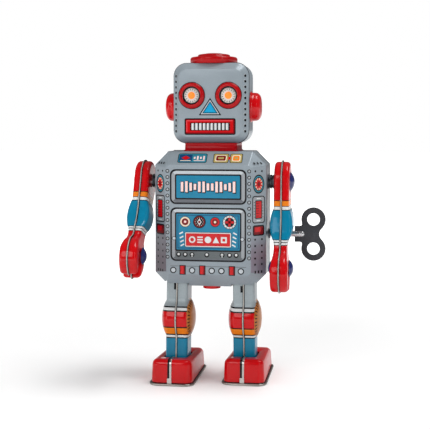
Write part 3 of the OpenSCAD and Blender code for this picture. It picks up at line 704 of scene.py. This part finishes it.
dials = {
    -13.9: [(3.3, "black"), (2.95, "cream"), (2.1, "deep_red"), (0.75, "pink")],
    STAR_X: [(3.9, "black"), (3.3, "deep_red"), (2.7, "black")],
    4.3: [(3.0, "black"), (2.6, "red"), (1.75, "deep_red"), (0.7, "cream")],
    WHEEL_X: [(4.2, "black"), (3.85, "white"), (2.9, "black")],
}
for x, stack in dials.items():
    chest.rings(x, DIAL_Z, stack, 8)
chest.shape([(STAR_X - 1.3, DIAL_Z), (STAR_X, 95.8), (STAR_X + 1.3, DIAL_Z), (STAR_X, 100.0)], "white", 11)
chest.disc(STAR_X, DIAL_Z, 0.75, "deep_red", 12)
for angle in (0, 90, 180, 270):
    chest.ray(WHEEL_X, DIAL_Z, 0, 2.6, 1.3, angle, "red", 11)
for k in range(12):
    chest.ray(WHEEL_X, DIAL_Z, 3.1, 3.7, 0.3, k * 30, "black", 11)
    chest.ray(STAR_X, DIAL_Z, 2.1, 2.6, 0.25, k * 30, "pink", 11)
chest.plates(0, SIGN_Z, [(28.4, 9.2, "black", 0.8), (27.8, 8.6, "white", 0.6), (26.8, 7.6, "red", 0.4)], 8)
signs = {"ring": -9.6, "bar": -4.8, "disc": 0.0, "wedge": 4.8, "square": 9.6}
chest.rings(signs["ring"], SIGN_Z, [(2.0, "white"), (1.15, "red")], 11)
for z in (85.7, SIGN_Z, 88.7):
    chest.rect(signs["bar"], z, 3.4, 0.8, "white", 11)
chest.disc(signs["disc"], SIGN_Z, 2.0, "white", 11)
chest.shape([(signs["wedge"] - 2, 85.3), (signs["wedge"] + 2, 85.3), (signs["wedge"], 89.1)], "white", 11)
chest.plates(signs["square"], SIGN_Z, [(3.6, 3.6, "white", 0), (1.7, 1.7, "red", 0)], 11)

# Bottom row of lamps and buttons on one wire
chest.rect(0, 71.1, 46, 0.35, "strip", 1)
for x in (-21.2, -9.7, 2.25, 8.1, 19.85):
    chest.rings(x, 68.6, [(1.95, "black"), (1.3, "frame_light")], 2)
for x in (-15.5, -3.5, 14.4):
    chest.plates(x, 68.8, [(3.9, 5.8, "black", 0.3), (2.7, 4.8, "red", 0.2)], 2)
    chest.rect(x + 1.0, 68.8, 0.6, 4.6, "deep_red", 4)
chest.done()

# Side bevels: gauge, slider, lamp and marks
GAUGE_Z, SLIDER_Z, LAMP_Z = 120.6, 105.4, 92.9
for s, side in SIDES:
    mid = Vector((s * (TORSO_W / 2 - BEVEL / 2), t_low.y + BEVEL / 2, 0))
    strip = Sheet(f"bevel_print_{side}", mid, (1, s, 0), (0, 0, 1))
    for u in (-2.5, 2.5):
        strip.disc(u, 128.3, 0.65, "black")
    strip.rings(0, GAUGE_Z, [(4.4, "black"), (3.8, "teal"), (3.2, "black"), (2.8, "cream")], 1, 1.3)
    for k in range(10):
        strip.ray(0, GAUGE_Z, 1.0, 2.7, 0.9, k * 36 + 18, "red", 5, 1.3)
    strip.rings(0, GAUGE_Z, [(1.8, "red"), (1.0, "deep_red")], 6, 1.3)
    strip.plates(0, SLIDER_Z, [(9.6, 16.4, "black", 1.7), (8.4, 15.2, "frame_mid", 1.3),
                               (5.2, 11.0, "black", 0.4), (4.0, 9.8, "red", 0.3)])
    for k in range(6):
        strip.rect(-0.9, 101.6 + 1.5 * k, 2.2, 0.3, "black", 5)
        for u in (-3.2, 3.2):
            strip.rect(u, 101.0 + 1.75 * k, 0.8, 0.3, "black", 3)
    for z in (98.8, 112.0):
        strip.rect(0, z, 3.0, 0.5, "white", 3)
    strip.plates(0, LAMP_Z, [(8.8, 6.4, "black", 1.3), (7.2, 4.8, "deep_red", 0.9)])
    strip.rect(-0.6, 93.4, 4.4, 2.8, "red", 3, 0.7)
    for z in (87.5, 83.7, 79.9, 76.2, 72.5):
        for u in (-2.6, 2.6):
            strip.disc(u, z, 0.65, "black")
    for u in (-2.4, 0, 2.4):
        strip.rect(u, 68.0, 1.1, 1.6, "black")
    strip.done()
    mid = Vector((s * (TORSO_W / 2 - BEVEL / 2), t_low.y + BEVEL / 2, t_high.z - BEVEL))
    marks = Sheet(f"corner_print_{side}", mid, (1, s, 0), (-s, 1, 2))
    for u in (-2.6, 0, 2.6):
        marks.rect(u, 1.5, 0.9, 1.5, "black", lean=20)
    marks.done()

# Top bevel: a panel on the robot's right and two badges on its left
crown = Sheet("crown_print", (0, t_low.y + BEVEL / 2, t_high.z - BEVEL / 2), (1, 0, 0), (0, 1, 1))
crown.plates(-10.1, 0, [(17.8, 7.8, "black", 1.2), (17.0, 7.0, "teal", 0.9)])
crown.rect(-14.2, 0, 7.8, 5.8, "deep_blue", 3, 0.4)
crown.shape([(-16.9, 0.2), (-14.2, -1.5), (-11.5, 0.2), (-14.2, 1.9)], "red", 4)
crown.rect(-14.2, -2.1, 6.4, 0.5, "cream", 4)
for k in range(4):
    crown.rect(-8.8 + 1.9 * k, 0.2, 1.0, 1.6 + 1.4 * (k % 2), "pink", 4)
crown.rect(-5.8, -2.1, 6.6, 0.45, "pink", 4)
for x, w, badge in ((7.25, 8.6, "deep_red"), (16.5, 6.8, "orange")):
    crown.plates(x, 0, [(w + 0.8, 7.6, "black", 0.9), (w, 6.8, "olive", 0.7), (w - 1.8, 5.0, "cream", 1.1),
                        (w - 2.8, 4.0, badge, 0.9), (w - 5.0, 1.6, "olive", 0.4)])
crown.rect(12.3, 0, 1.6, 2.2, "red", 3)
crown.done()

# Back: columns of rivets like the front's, and a line round the plain panel
rear = Sheet("back_print", (0, t_high.y, 0), (-1, 0, 0), (0, 0, 1))
for s in (-1, 1):
    for k in range(RIVETS):
        rear.rings(s * 22.0, 125.0 - RIVET_GAP * k, RIVET)
    rear.rect(s * 18.6, 99.1, 0.4, 54.0, "black")
for z in (72.1, 126.1):
    rear.rect(0, z, 37.6, 0.4, "black")
rear.done()

# ---- Pressed halves of arms and legs ----


def soft_min(a, b, k):
    h = max(k - abs(a - b), 0) / k
    return min(a, b) - h * h * k / 4


def taper(p, a, b, ra, rb):
    """Distance from p to a bar that tapers from radius ra at a to rb at b."""
    ab = (b[0] - a[0], b[1] - a[1])
    t = ((p[0] - a[0]) * ab[0] + (p[1] - a[1]) * ab[1]) / (ab[0] ** 2 + ab[1] ** 2)
    t = min(max(t, 0), 1)
    return math.hypot(p[0] - a[0] - ab[0] * t, p[1] - a[1] - ab[1] * t) - (ra + (rb - ra) * t)


SHOULDER_R, ELBOW_R, WRIST_R, PALM_R, HAND_R = 12.2, 7.5, 6.6, 7.4, 12.0
ELBOW, WRIST, PALM, HAND = (-6.3, -26.5), (-11.5, -37.0), (-16.0, -48.3), (-19.0, -53.3)


def arm_field(p):
    """Negative inside the side view of an arm about its shoulder, with its open claw."""
    d = taper(p, (0, 0), ELBOW, SHOULDER_R, ELBOW_R)
    d = soft_min(d, taper(p, ELBOW, WRIST, ELBOW_R, WRIST_R), 2)
    d = soft_min(d, taper(p, WRIST, PALM, WRIST_R, PALM_R), 2)
    y, z = p[0] - HAND[0], p[1] - HAND[1]
    d = soft_min(d, math.hypot(y, z) - HAND_R, 3)
    turn = math.radians(265)
    along = y * math.cos(turn) + z * math.sin(turn)
    across = -y * math.sin(turn) + z * math.cos(turn)
    notch = soft_min(math.hypot(y, z) - 3.8, max(abs(across) - 2.8, -along), 1.5)
    return -soft_min(-d, notch, 2.0)


LEG_DEPTH = 15.0
KNEE = (0.0, 37.6 - HIP.z)
KNEE_R = 12.0
LEG_LOW, LEG_HIGH = -57.0, 18.0


def leg_field(p):
    """Negative inside the side view of a leg about the hip rod."""
    y = abs(p[0]) - LEG_DEPTH / 2 + 1.5
    z = abs(p[1] - (LEG_LOW + LEG_HIGH) / 2) - (LEG_HIGH - LEG_LOW) / 2 + 1.5
    bar = math.hypot(max(y, 0), max(z, 0)) + min(max(y, z), 0) - 1.5
    return soft_min(bar, math.hypot(p[0] - KNEE[0], p[1] - KNEE[1]) - KNEE_R, 2.5)


def slope(field, p):
    e = 0.02
    gy = (field((p[0] + e, p[1])) - field((p[0] - e, p[1]))) / (2 * e)
    gz = (field((p[0], p[1] + e)) - field((p[0], p[1] - e))) / (2 * e)
    size = math.hypot(gy, gz) or 1.0
    return gy / size, gz / size, size


def trace(field, start, step):
    """Walks once round the field's zero line."""
    def settle(p, level=0.0):
        for _ in range(4):
            gy, gz, size = slope(field, p)
            off = (field(p) - level) / size
            p = (p[0] - gy * off, p[1] - gz * off)
        return p

    first = settle(start)
    points, p = [first], first
    for _ in range(2000):
        gy, gz, _ = slope(field, p)
        p = settle((p[0] - gz * step, p[1] + gy * step))
        if len(points) > 8 and math.dist(p, first) < step * 0.75:
            return points
        points.append(p)
    raise ValueError("the outline doesn't close")


def inset_ring(field, points, depth):
    """The outline moved inwards by depth, or outwards if it is negative."""
    steps = max(1, round(abs(depth) / 0.3))
    for _ in range(steps):
        moved = []
        for p in points:
            gy, gz, _ = slope(field, p)
            moved.append((p[0] - gy * depth / steps, p[1] - gz * depth / steps))
        points = moved
    return points


def pressed_half(field, outline, depth, radius, lip):
    """One half from the seam at x 0 outwards. Slots: 0 bare lip, 1 dark line beside it, partly print and
    partly painted shade where the lip meets the skin, 2 printed skin.
    """
    steps = [(0.0, 0.6, 0), (0.0, -lip, 0), (0.3, -lip, 0), (0.36, -0.02, 1), (0.62, 0.0, 1), (1.1, 0.0, 2)]
    steps += [(depth - radius, 0.0, 2)]
    for k in range(1, 6):
        a = math.radians(18 * k)
        steps.append((depth - radius + radius * math.sin(a), radius * (1 - math.cos(a)), 2))
    steps.append((depth, radius + 0.8, 2))
    rings = []
    for x, inset, _ in steps:
        rings.append([(x, y, z) for y, z in inset_ring(field, outline, inset)])
    return loft(rings, inks=[slot for _, _, slot in steps[1:]])


def slice_at(bm, axis, places):
    for place in places:
        normal = Vector((0, 0, 0))
        normal[axis] = 1
        geom = bm.verts[:] + bm.edges[:] + bm.faces[:]
        bmesh.ops.bisect_plane(bm, geom=geom, dist=1e-4, plane_co=normal * place, plane_no=normal)


def paint_bands(bm, bands, first_slot):
    """bands are (lower edge z, slot) from the top down; only printed skin is painted."""
    for face in bm.faces:
        if face.material_index != first_slot:
            continue
        z = face.calc_center_median().z
        face.material_index = next((slot for low, slot in bands if z > low), bands[-1][1])


def bump_between(z, low, high):
    t = (z - low) / (high - low)
    return math.sin(math.pi * t) ** 0.8 if 0 < t < 1 else 0.0


ARM_X = SHOULDER.x
ARM_HALF = 4.7
ARM_SWING = 20
# Lower edge of each printed band below the shoulder, and its ink
ARM_BANDS = [
    (-10.5, "red"), (-11.0, "black"), (-14.0, "orange"), (-14.4, "black"), (-16.2, "white"), (-16.7, "black"),
    (-33.6, "blue"), (-34.0, "black"), (-35.0, "white"), (-35.5, "black"), (-36.7, "white"), (-37.1, "black"),
    (-80, "red"),
]
arm_outline = trace(arm_field, (0, SHOULDER_R), 0.8)
# Heights between which the forearm swells
BULGE = (-15.6, -34.8)
HAND_HALF = 5.3
# Half thickness of an arm at heights below the shoulder
ARM_HALVES = [(99, ARM_HALF), (-33, 4.6), (-38, 3.95), (-42, 4.1), (-49, HAND_HALF), (-99, HAND_HALF)]


def half_at(z):
    for (z0, h0), (z1, h1) in zip(ARM_HALVES, ARM_HALVES[1:]):
        if z >= z1:
            return h1 + (h0 - h1) * (z - z1) / (z0 - z1)
    return HAND_HALF


def arm_swing(s):
    """The robot's right arm hangs forward of its left."""
    return Matrix.Rotation(math.radians(-ARM_SWING if s < 0 else 0), 4, "X")


def add_bands(inks, table):
    """Slots for a band table, with its inks added to the piece's list."""
    out = []
    for low, ink in table:
        if ink not in inks:
            inks.append(ink)
        out.append((low, inks.index(ink)))
    return out


for s, side in SIDES:
    hang = Matrix.Translation((s * ARM_X, 0, SHOULDER.z)) @ arm_swing(s)
    for out, part in ((1, "outer"), (-1, "inner")):
        bm = pressed_half(arm_field, arm_outline, ARM_HALF, 2.0, 0.9)
        inks = ["seam", "black", "skin"]
        bands = add_bands(inks, ARM_BANDS)
        slice_at(bm, 2, [low for low, _ in ARM_BANDS[:-1]] + [-17.5 - 1.6 * k for k in range(24)])
        paint_bands(bm, bands, 2)
        for v in bm.verts:
            if v.co.x > 0.6:
                swell = half_at(v.co.z) - ARM_HALF + 2.2 * bump_between(v.co.z, BULGE[1], BULGE[0])
                v.co.x += swell * (v.co.x - 0.6) / (ARM_HALF - 0.6)
        inks[2] = "red"
        place = hang @ Matrix.Scale(s * out, 4, (1, 0, 0))
        even_normals(new_piece(f"{side}_arm_{part}_half", bm, inks, f"{side}_arm", [f"{side}_arm_{part}"],
                               matrix=place))

LEG_X = HIP.x
LEG_HALF = 6.75
LEG_LEAN = 4
# Lower edge of each printed band above the floor, and its ink
LEG_BANDS = [
    (45.0, "leg_grey"), (44.2, "black"), (42.6, "white"), (41.8, "black"), (32.7, "red"), (31.9, "black"),
    (28.1, "orange"), (27.3, "black"), (26.0, "white"), (25.3, "black"), (0, "blue"),
]
INK["leg_grey"] = lacquer("leg_grey", srgb(150, 160, 164), rough=0.34, coat=0.15, metallic=0.15)
leg_outline = trace(leg_field, (LEG_DEPTH / 2, 5), 0.8)
DOME_R = 11.4
# Marks the knee dome's faces while the bands are painted
DOME_SLOT = 99
KNEE_TICKS = 30


def knee_rise(far):
    """How far the knee's dome stands out at a distance from its middle."""
    return 3.3 * (1 - min(far / (KNEE_R - 0.1), 1) ** 2.6)


for s, side in SIDES:
    stance = (Matrix.Translation((s * LEG_X, HIP.y, HIP.z))
              @ Matrix.Rotation(math.radians(s * LEG_LEAN), 4, "X"))
    lift = 1.2 if s > 0 else 0
    for out, part in ((1, "outer"), (-1, "inner")):
        bm = pressed_half(leg_field, leg_outline, LEG_HALF, 1.8, 0.75)
        inks = ["seam", "black", "skin"]
        bands = add_bands(inks, [(z + lift - HIP.z, ink) for z, ink in LEG_BANDS])
        slice_at(bm, 2, [low for low, _ in bands[:-1]] + [KNEE[1] - 11.7 + 1.3 * k for k in range(19)])
        slice_at(bm, 1, [-10.8 + 1.2 * k for k in range(19)])
        for v in bm.verts:
            if v.co.x > 0.6:
                far = math.hypot(v.co.y - KNEE[0], v.co.z - KNEE[1])
                v.co.x += knee_rise(far) * (v.co.x - 0.6) / (LEG_HALF - 0.6)
        inks[2] = "gold"
        bm.normal_update()
        for f in bm.faces:
            c = f.calc_center_median()
            far = math.hypot(c.y - KNEE[0], c.z - KNEE[1])
            if s * out > 0 and f.material_index == 2 and far < DOME_R and c.x > LEG_HALF - 0.3:
                f.material_index = DOME_SLOT
        paint_bands(bm, bands, 2)
        for f in bm.faces:
            if f.material_index == DOME_SLOT:
                f.material_index = 2
        place = stance @ Matrix.Scale(s * out, 4, (1, 0, 0))
        even_normals(new_piece(f"{side}_leg_{part}_half", bm, inks, f"{side}_leg", [f"{side}_leg_{part}"],
                               matrix=place))
    # A black box on the leg's front, where the seam opens at the top, is painted shadow of that opening
    bm = box_mesh((-1.9, -LEG_DEPTH / 2 - 0.06, -7.0), (-0.6, -LEG_DEPTH / 2 + 0.3, -3.0))
    new_piece(f"{side}_leg_slot_shadow", bm, ["black"], f"{side}_leg", smooth=False,
              matrix=stance)
    bm = bmesh.new()
    for k in range(KNEE_TICKS):
        a = 2 * math.pi * k / KNEE_TICKS
        rings = []
        for far in (9.3, 10.1, 10.9):
            x = LEG_HALF + knee_rise(far) + 0.05
            y, z = math.cos(a) * far, math.sin(a) * far
            across = (-math.sin(a) * 0.32, math.cos(a) * 0.32)
            rings.append([(x + dx, KNEE[0] + y + t * across[0], KNEE[1] + z + t * across[1])
                          for dx, t in ((-0.3, -1), (-0.3, 1), (0, 1), (0, -1))])
        loft(rings, bm=bm)
    new_piece(f"{side}_knee_ticks", bm, ["black"], f"{side}_leg", smooth=False,
              matrix=stance)

# ---- Feet ----

SHOE_ROUND = 3.0
SHOE_HOLE = (14.5, 21.6)


def ribbon(bm, path, x0, x1, height, slot):
    """A strip along a (y, z) path that runs over the toe, raised above it."""
    rings = []
    for i, (y, z) in enumerate(path):
        before, after = path[max(i - 1, 0)], path[min(i + 1, len(path) - 1)]
        dy, dz = after[0] - before[0], after[1] - before[1]
        size = math.hypot(dy, dz)
        ny, nz = -dz / size, dy / size
        section = ((x0, -0.3), (x1, -0.3), (x1, height), (x0, height))
        rings.append([(x, y + ny * h, z + nz * h) for x, h in section])
    loft(rings, inks=[slot] * (len(path) - 1), bm=bm)


for s, side in SIDES:
    f_low, f_high = local_box(f"{side}_foot_shell")
    s_low, s_high = local_box(f"{side}_sole")
    mid = (f_low + f_high) / 2
    mid.y = (s_low.y + s_high.y) / 2
    width, length = f_high.x - f_low.x, s_high.y - s_low.y - 2.2
    toe, heel = f_high.z, f_high.z - 3.0

    def top_at(y, drop):
        t = (y + length / 2) / length
        return toe + (heel - toe) * t - drop

    # (inset, drop below the top or None, height above the base)
    base = f_low.z
    steps = [(0.0, None, 0.0), (0.0, None, 0.55), (0.05, None, 1.2)]
    for k in range(7):
        a = math.radians(15 * k)
        steps.append((0.5 + SHOE_ROUND * (1 - math.cos(a)), (SHOE_ROUND + 0.2) * (1 - math.sin(a)), 0))
    rings, toe_path = [], []
    for inset, drop, rise in steps:
        half_l = length / 2 - inset
        ring = []
        for u, v in round_rect(width - 2 * inset, 2 * half_l, 4.6 - 0.9 * inset):
            ring.append((mid.x + u, mid.y + v, base + rise if drop is None else top_at(v, drop)))
        rings.append(ring)
        toe_path.append((mid.y - half_l, base + rise if drop is None else top_at(-half_l, drop)))
    hole_x, hole_y = s * (HIP.x + 0.25), mid.y - 5.2
    for grow, drop in ((0.25, 0.0), (0.0, 0.12), (-0.05, 0.5), (-0.05, 2.0)):
        rings.append([(hole_x + u, hole_y + v, top_at(v - 5.2, drop))
                      for u, v in round_rect(SHOE_HOLE[0] + grow, SHOE_HOLE[1] + grow, 1.2)])
    # The shoe's lowest band, up to 0.55 mm, is black: painted shadow of the gap above the sole rim
    bm = loft(rings, cap_start=False, cap_end=False, inks=[1] + [0] * (len(rings) - 2))
    shoe = new_piece(f"{side}_shoe", bm, ["red", "black"], f"{side}_foot", [f"{side}_foot_shell"])
    solidify(shoe, 0.4)

    # Rolled rim round the sole
    sole_w, sole_l = s_high.x - s_low.x, s_high.y - s_low.y
    tube = []
    for k in range(8):
        a = math.radians(45 * k)
        grow = 0.7 * math.cos(a) * 2
        tube.append([(mid.x + u, mid.y + v, 0.72 + 0.7 * math.sin(a))
                     for u, v in round_rect(sole_w - 0.6 + grow, sole_l - 0.6 + grow, 5.4 + grow / 2)])
    bm = loft(tube + [tube[0]], cap_start=False, cap_end=False)
    new_piece(f"{side}_sole_rim", bm, ["sole"], f"{side}_foot", ())

    # Bare strip, with a black ribbon beside it as painted shadow of the slit, from the leg over the toe to a
    # clip at the sole
    toe_path.append((hole_y - SHOE_HOLE[1] / 2 + 0.2, top_at(hole_y - mid.y - SHOE_HOLE[1] / 2, 0)))
    path = toe_path[::-1]
    bm = bmesh.new()
    ribbon(bm, path, mid.x - 2.1, mid.x - 0.8, 0.06, 0)
    ribbon(bm, path, mid.x - 0.8, mid.x + 0.35, 0.5, 1)
    toe_y = mid.y - length / 2
    clip = box_mesh((mid.x - 2.2, toe_y - 0.6, base), (mid.x + 0.45, toe_y + 0.4, base + 3.2))
    for face in clip.faces:
        face.material_index = 1
    add_mesh(bm, clip)
    seam = new_piece(f"{side}_toe_seam", bm, ["black", "tin"], f"{side}_foot", smooth=False)
    bevel(seam, 0.15, 2)

# ---- Shoulders and key ----

for s, side in SIDES:
    wall = TORSO_W / 2
    profile = [(-1.5, 2.7), (0, 2.7), (0, 4.5), (0.9, 4.5), (1.0, 4.0), (1.4, 4.0), (1.5, 4.3), (2.3, 4.3),
               (2.4, 3.8), (2.9, 3.8), (3.0, 4.2), (3.8, 4.2), (3.9, 2.0)]
    bm = lathe(profile, (s * wall, 0, SHOULDER.z), (s, 0, 0), 56)
    boss = new_piece(f"{side}_shoulder_boss", bm, ["gunmetal"], "body", [f"{side}_shoulder_bush"],
                     smooth=False)
    bevel(boss, 0.12, 2)
    bm = bmesh.new()
    spots = [((ARM_X + ARM_HALF - 0.1, 0, 0), 1, 5.9, 2.5)]
    spots += [((ARM_X + t * (HAND_HALF - 0.1), HAND[0] + 5, HAND[1] + 2), t, 5.0, 2.3) for t in (-1, 1)]
    for centre, face_x, r, h in spots:
        big = (r * r + h * h) / (2 * h)
        span = math.degrees(math.asin(r / big))
        curve = arc(h - big, 0, big, span, 4, 7)
        profile = [(0, r + 0.15), (0.35, r + 0.1)] + [(u + 0.1, v) for u, v in curve] + [(h + 0.1, 0)]
        place = (s * centre[0], centre[1], centre[2])
        add_mesh(bm, lathe(profile, place, (s * face_x, 0, 0), 48))
    new_piece(f"{side}_arm_dome_caps", bm, ["navy"], f"{side}_arm", [f"{side}_arm_domes"],
              matrix=Matrix.Translation((0, 0, SHOULDER.z)) @ arm_swing(s))

k_low, k_high = local_box("key_handle")
lobe_r, lobe_gap, hole_r = 7.4, 18.0, 3.9
lobe_x = k_high.x - lobe_r


def key_field(p):
    """Negative inside the side view of the key's two-lobed handle."""
    x, z = p[0] - lobe_x, abs(p[1])
    lobes = math.hypot(x, z - lobe_gap / 2) - lobe_r
    web = max(abs(x + 0.8) - 4.8, z - lobe_gap / 2)
    tab = max(abs(p[0] - (k_low.x + lobe_x) / 2) - (lobe_x - k_low.x) / 2, z - 4.9)
    body = soft_min(lobes, soft_min(web, tab, 1.5), 2.2)
    waist = math.hypot(p[0] - k_high.x + 0.4, z) - 3.3
    return -soft_min(-body, waist, 1.2)


key_outline = trace(key_field, (lobe_x, lobe_gap / 2 + lobe_r), 0.5)
half_t = (k_high.y - k_low.y) / 2
rings = []
edge = [(-half_t, 0.45), (-half_t + 0.15, 0.12), (-half_t + 0.4, 0)]
for y, inset in edge + [(-y, inset) for y, inset in edge[::-1]]:
    rings.append([(x, ARBOR.y + y, ARBOR.z + z) for x, z in inset_ring(key_field, key_outline, inset)])
bm = loft(rings)
key = new_piece("key_plate", bm, ["key"], "winding_key", ["key_handle"])
lobe_holes = []
for t in (-1, 1):
    z = ARBOR.z + t * lobe_gap / 2
    lobe_holes.append(rod_mesh((lobe_x, ARBOR.y - 4, z), (lobe_x, ARBOR.y + 4, z), hole_r))
cut(key, lobe_holes)
bevel(key, 0.3, 2, 50)
even_normals(key)

# ---- CAD nodes that stay ----

KEPT = {
    "red": ["torso_base_plate"],
    "gunmetal": ["winding_bush", "winding_arbor", "spark_wheel"],
    "steel": ["left_arm_axle", "right_arm_axle", "key_tube", "hip_rod", "ratchet_wheel", "click",
              "crank_shaft", "crank_discs", "second_arbor", "governor_arbor", "spark_shaft", "left_ankle_pin",
              "right_ankle_pin"],
    "tin": ["left_motor_plate", "right_motor_plate", "spark_bracket", "governor_fan"],
    "sole": ["left_sole", "right_sole"],
    "brass": ["great_wheel", "second_wheel", "crank_pinion", "motor_pillars", "flint_spring"],
    "blued": ["mainspring"],
    "rubber": ["left_sole_roller", "right_sole_roller"],
    "flint": ["flint"],
    "cord": ["spark_belt"],
}
for ink, names in KEPT.items():
    for name in names:
        obj = frame["nodes"][name]
        obj.data.materials.clear()
        obj.data.materials.append(INK[ink])

# ---- Studio ----

bm = bmesh.new()
bmesh.ops.create_grid(bm, x_segments=1, y_segments=1, size=6)
mesh = bpy.data.meshes.new("floor")
bm.to_mesh(mesh)
bm.free()
floor = bpy.data.objects.new("floor", mesh)
floor_mat, floor_nodes, floor_links, floor_bsdf = principled("studio_floor")
floor_bsdf.inputs["Base Color"].default_value = (0.9, 0.9, 0.9, 1)
floor_bsdf.inputs["Roughness"].default_value = 0.5
floor_bsdf.inputs["Specular IOR Level"].default_value = 0.3
floor_bsdf.inputs["Emission Color"].default_value = (1, 1, 1, 1)
coords = floor_nodes.new("ShaderNodeTexCoord")
reach = floor_nodes.new("ShaderNodeVectorMath")
reach.operation = "LENGTH"
floor_links.new(coords.outputs["Object"], reach.inputs[0])
# The sweep brightens away from the toy, so it runs into the white background
glare = map_range(floor_nodes, floor_links, reach.outputs["Value"], (0.12, 0.9, 0.1, 0.9), smooth=True)
floor_links.new(glare, floor_bsdf.inputs["Emission Strength"])
mesh.materials.append(floor_mat)
bpy.context.scene.collection.objects.link(floor)

# Bright above, behind and at the sides, dim from where the toy faces; white to the camera
FRONT_GLOW, SIDE_GLOW, TOP_GLOW = 0.1, 0.45, 0.2
# Share of that light which reflections on the toy don't see
GLOSS_CUT = 0.65
world = bpy.data.worlds.new("studio")
world.use_nodes = True
nodes, links = world.node_tree.nodes, world.node_tree.links
coords = nodes.new("ShaderNodeTexCoord")
split = nodes.new("ShaderNodeSeparateXYZ")
links.new(coords.outputs["Generated"], split.inputs["Vector"])
around = map_range(nodes, links, split.outputs["Y"], (-0.85, 0.25, FRONT_GLOW, SIDE_GLOW), smooth=True)
above = map_range(nodes, links, split.outputs["Z"], (0.35, 1.0, 0, TOP_GLOW), smooth=True)
total = nodes.new("ShaderNodeMath")
links.new(around, total.inputs[0])
links.new(above, total.inputs[1])
paths = nodes.new("ShaderNodeLightPath")
dimmer = nodes.new("ShaderNodeMath")
dimmer.operation = "MULTIPLY_ADD"
links.new(paths.outputs["Is Glossy Ray"], dimmer.inputs[0])
dimmer.inputs[1].default_value = -GLOSS_CUT
dimmer.inputs[2].default_value = 1
room = nodes.new("ShaderNodeMath")
room.operation = "MULTIPLY"
links.new(total.outputs["Value"], room.inputs[0])
links.new(dimmer.outputs["Value"], room.inputs[1])
choice = nodes.new("ShaderNodeMix")
links.new(paths.outputs["Is Camera Ray"], choice.inputs[0])
links.new(room.outputs["Value"], choice.inputs[2])
choice.inputs[3].default_value = 1.0
background = nodes["Background"]
background.inputs["Color"].default_value = (1, 1, 1, 1)
links.new(choice.outputs[0], background.inputs["Strength"])
bpy.context.scene.world = world


def softbox(name, place, target, size, power):
    """An area light, in the robot's millimetres, aimed at a point."""
    data = bpy.data.lights.new(name, "AREA")
    data.shape = "RECTANGLE"
    data.size, data.size_y = size[0] * MM, size[1] * MM
    data.energy = power
    light = bpy.data.objects.new(name, data)
    bpy.context.scene.collection.objects.link(light)
    start, end = ORIGIN + Vector(place) * MM, ORIGIN + Vector(target) * MM
    light.location = start
    light.rotation_euler = (end - start).to_track_quat("-Z", "Y").to_euler()


softbox("key_softbox", (-700, -1850, 1000), (0, 0, 100), (1100, 1100), 15.5)
softbox("top_softbox", (780, 60, 1950), (0, 0, 60), (900, 900), 26)
softbox("left_strip", (-1150, -850, 380), (0, 0, 100), (110, 900), 3.5)
softbox("right_strip", (1050, -850, 380), (0, 0, 100), (110, 900), 1.8)

YAW, PITCH = math.radians(8.85), math.radians(-2.65)
camera_data = bpy.data.cameras.new("camera")
camera_data.lens = 81
camera_data.sensor_width = 36
camera_data.shift_y = -0.0930233
camera = bpy.data.objects.new("camera", camera_data)
bpy.context.scene.collection.objects.link(camera)
camera.location = ORIGIN + Vector((92.8, -589.9, 152.7)) * MM
camera.rotation_euler = (math.pi / 2 + PITCH, 0, YAW)
bpy.context.scene.camera = camera
bpy.context.scene.view_settings.view_transform = "Standard"
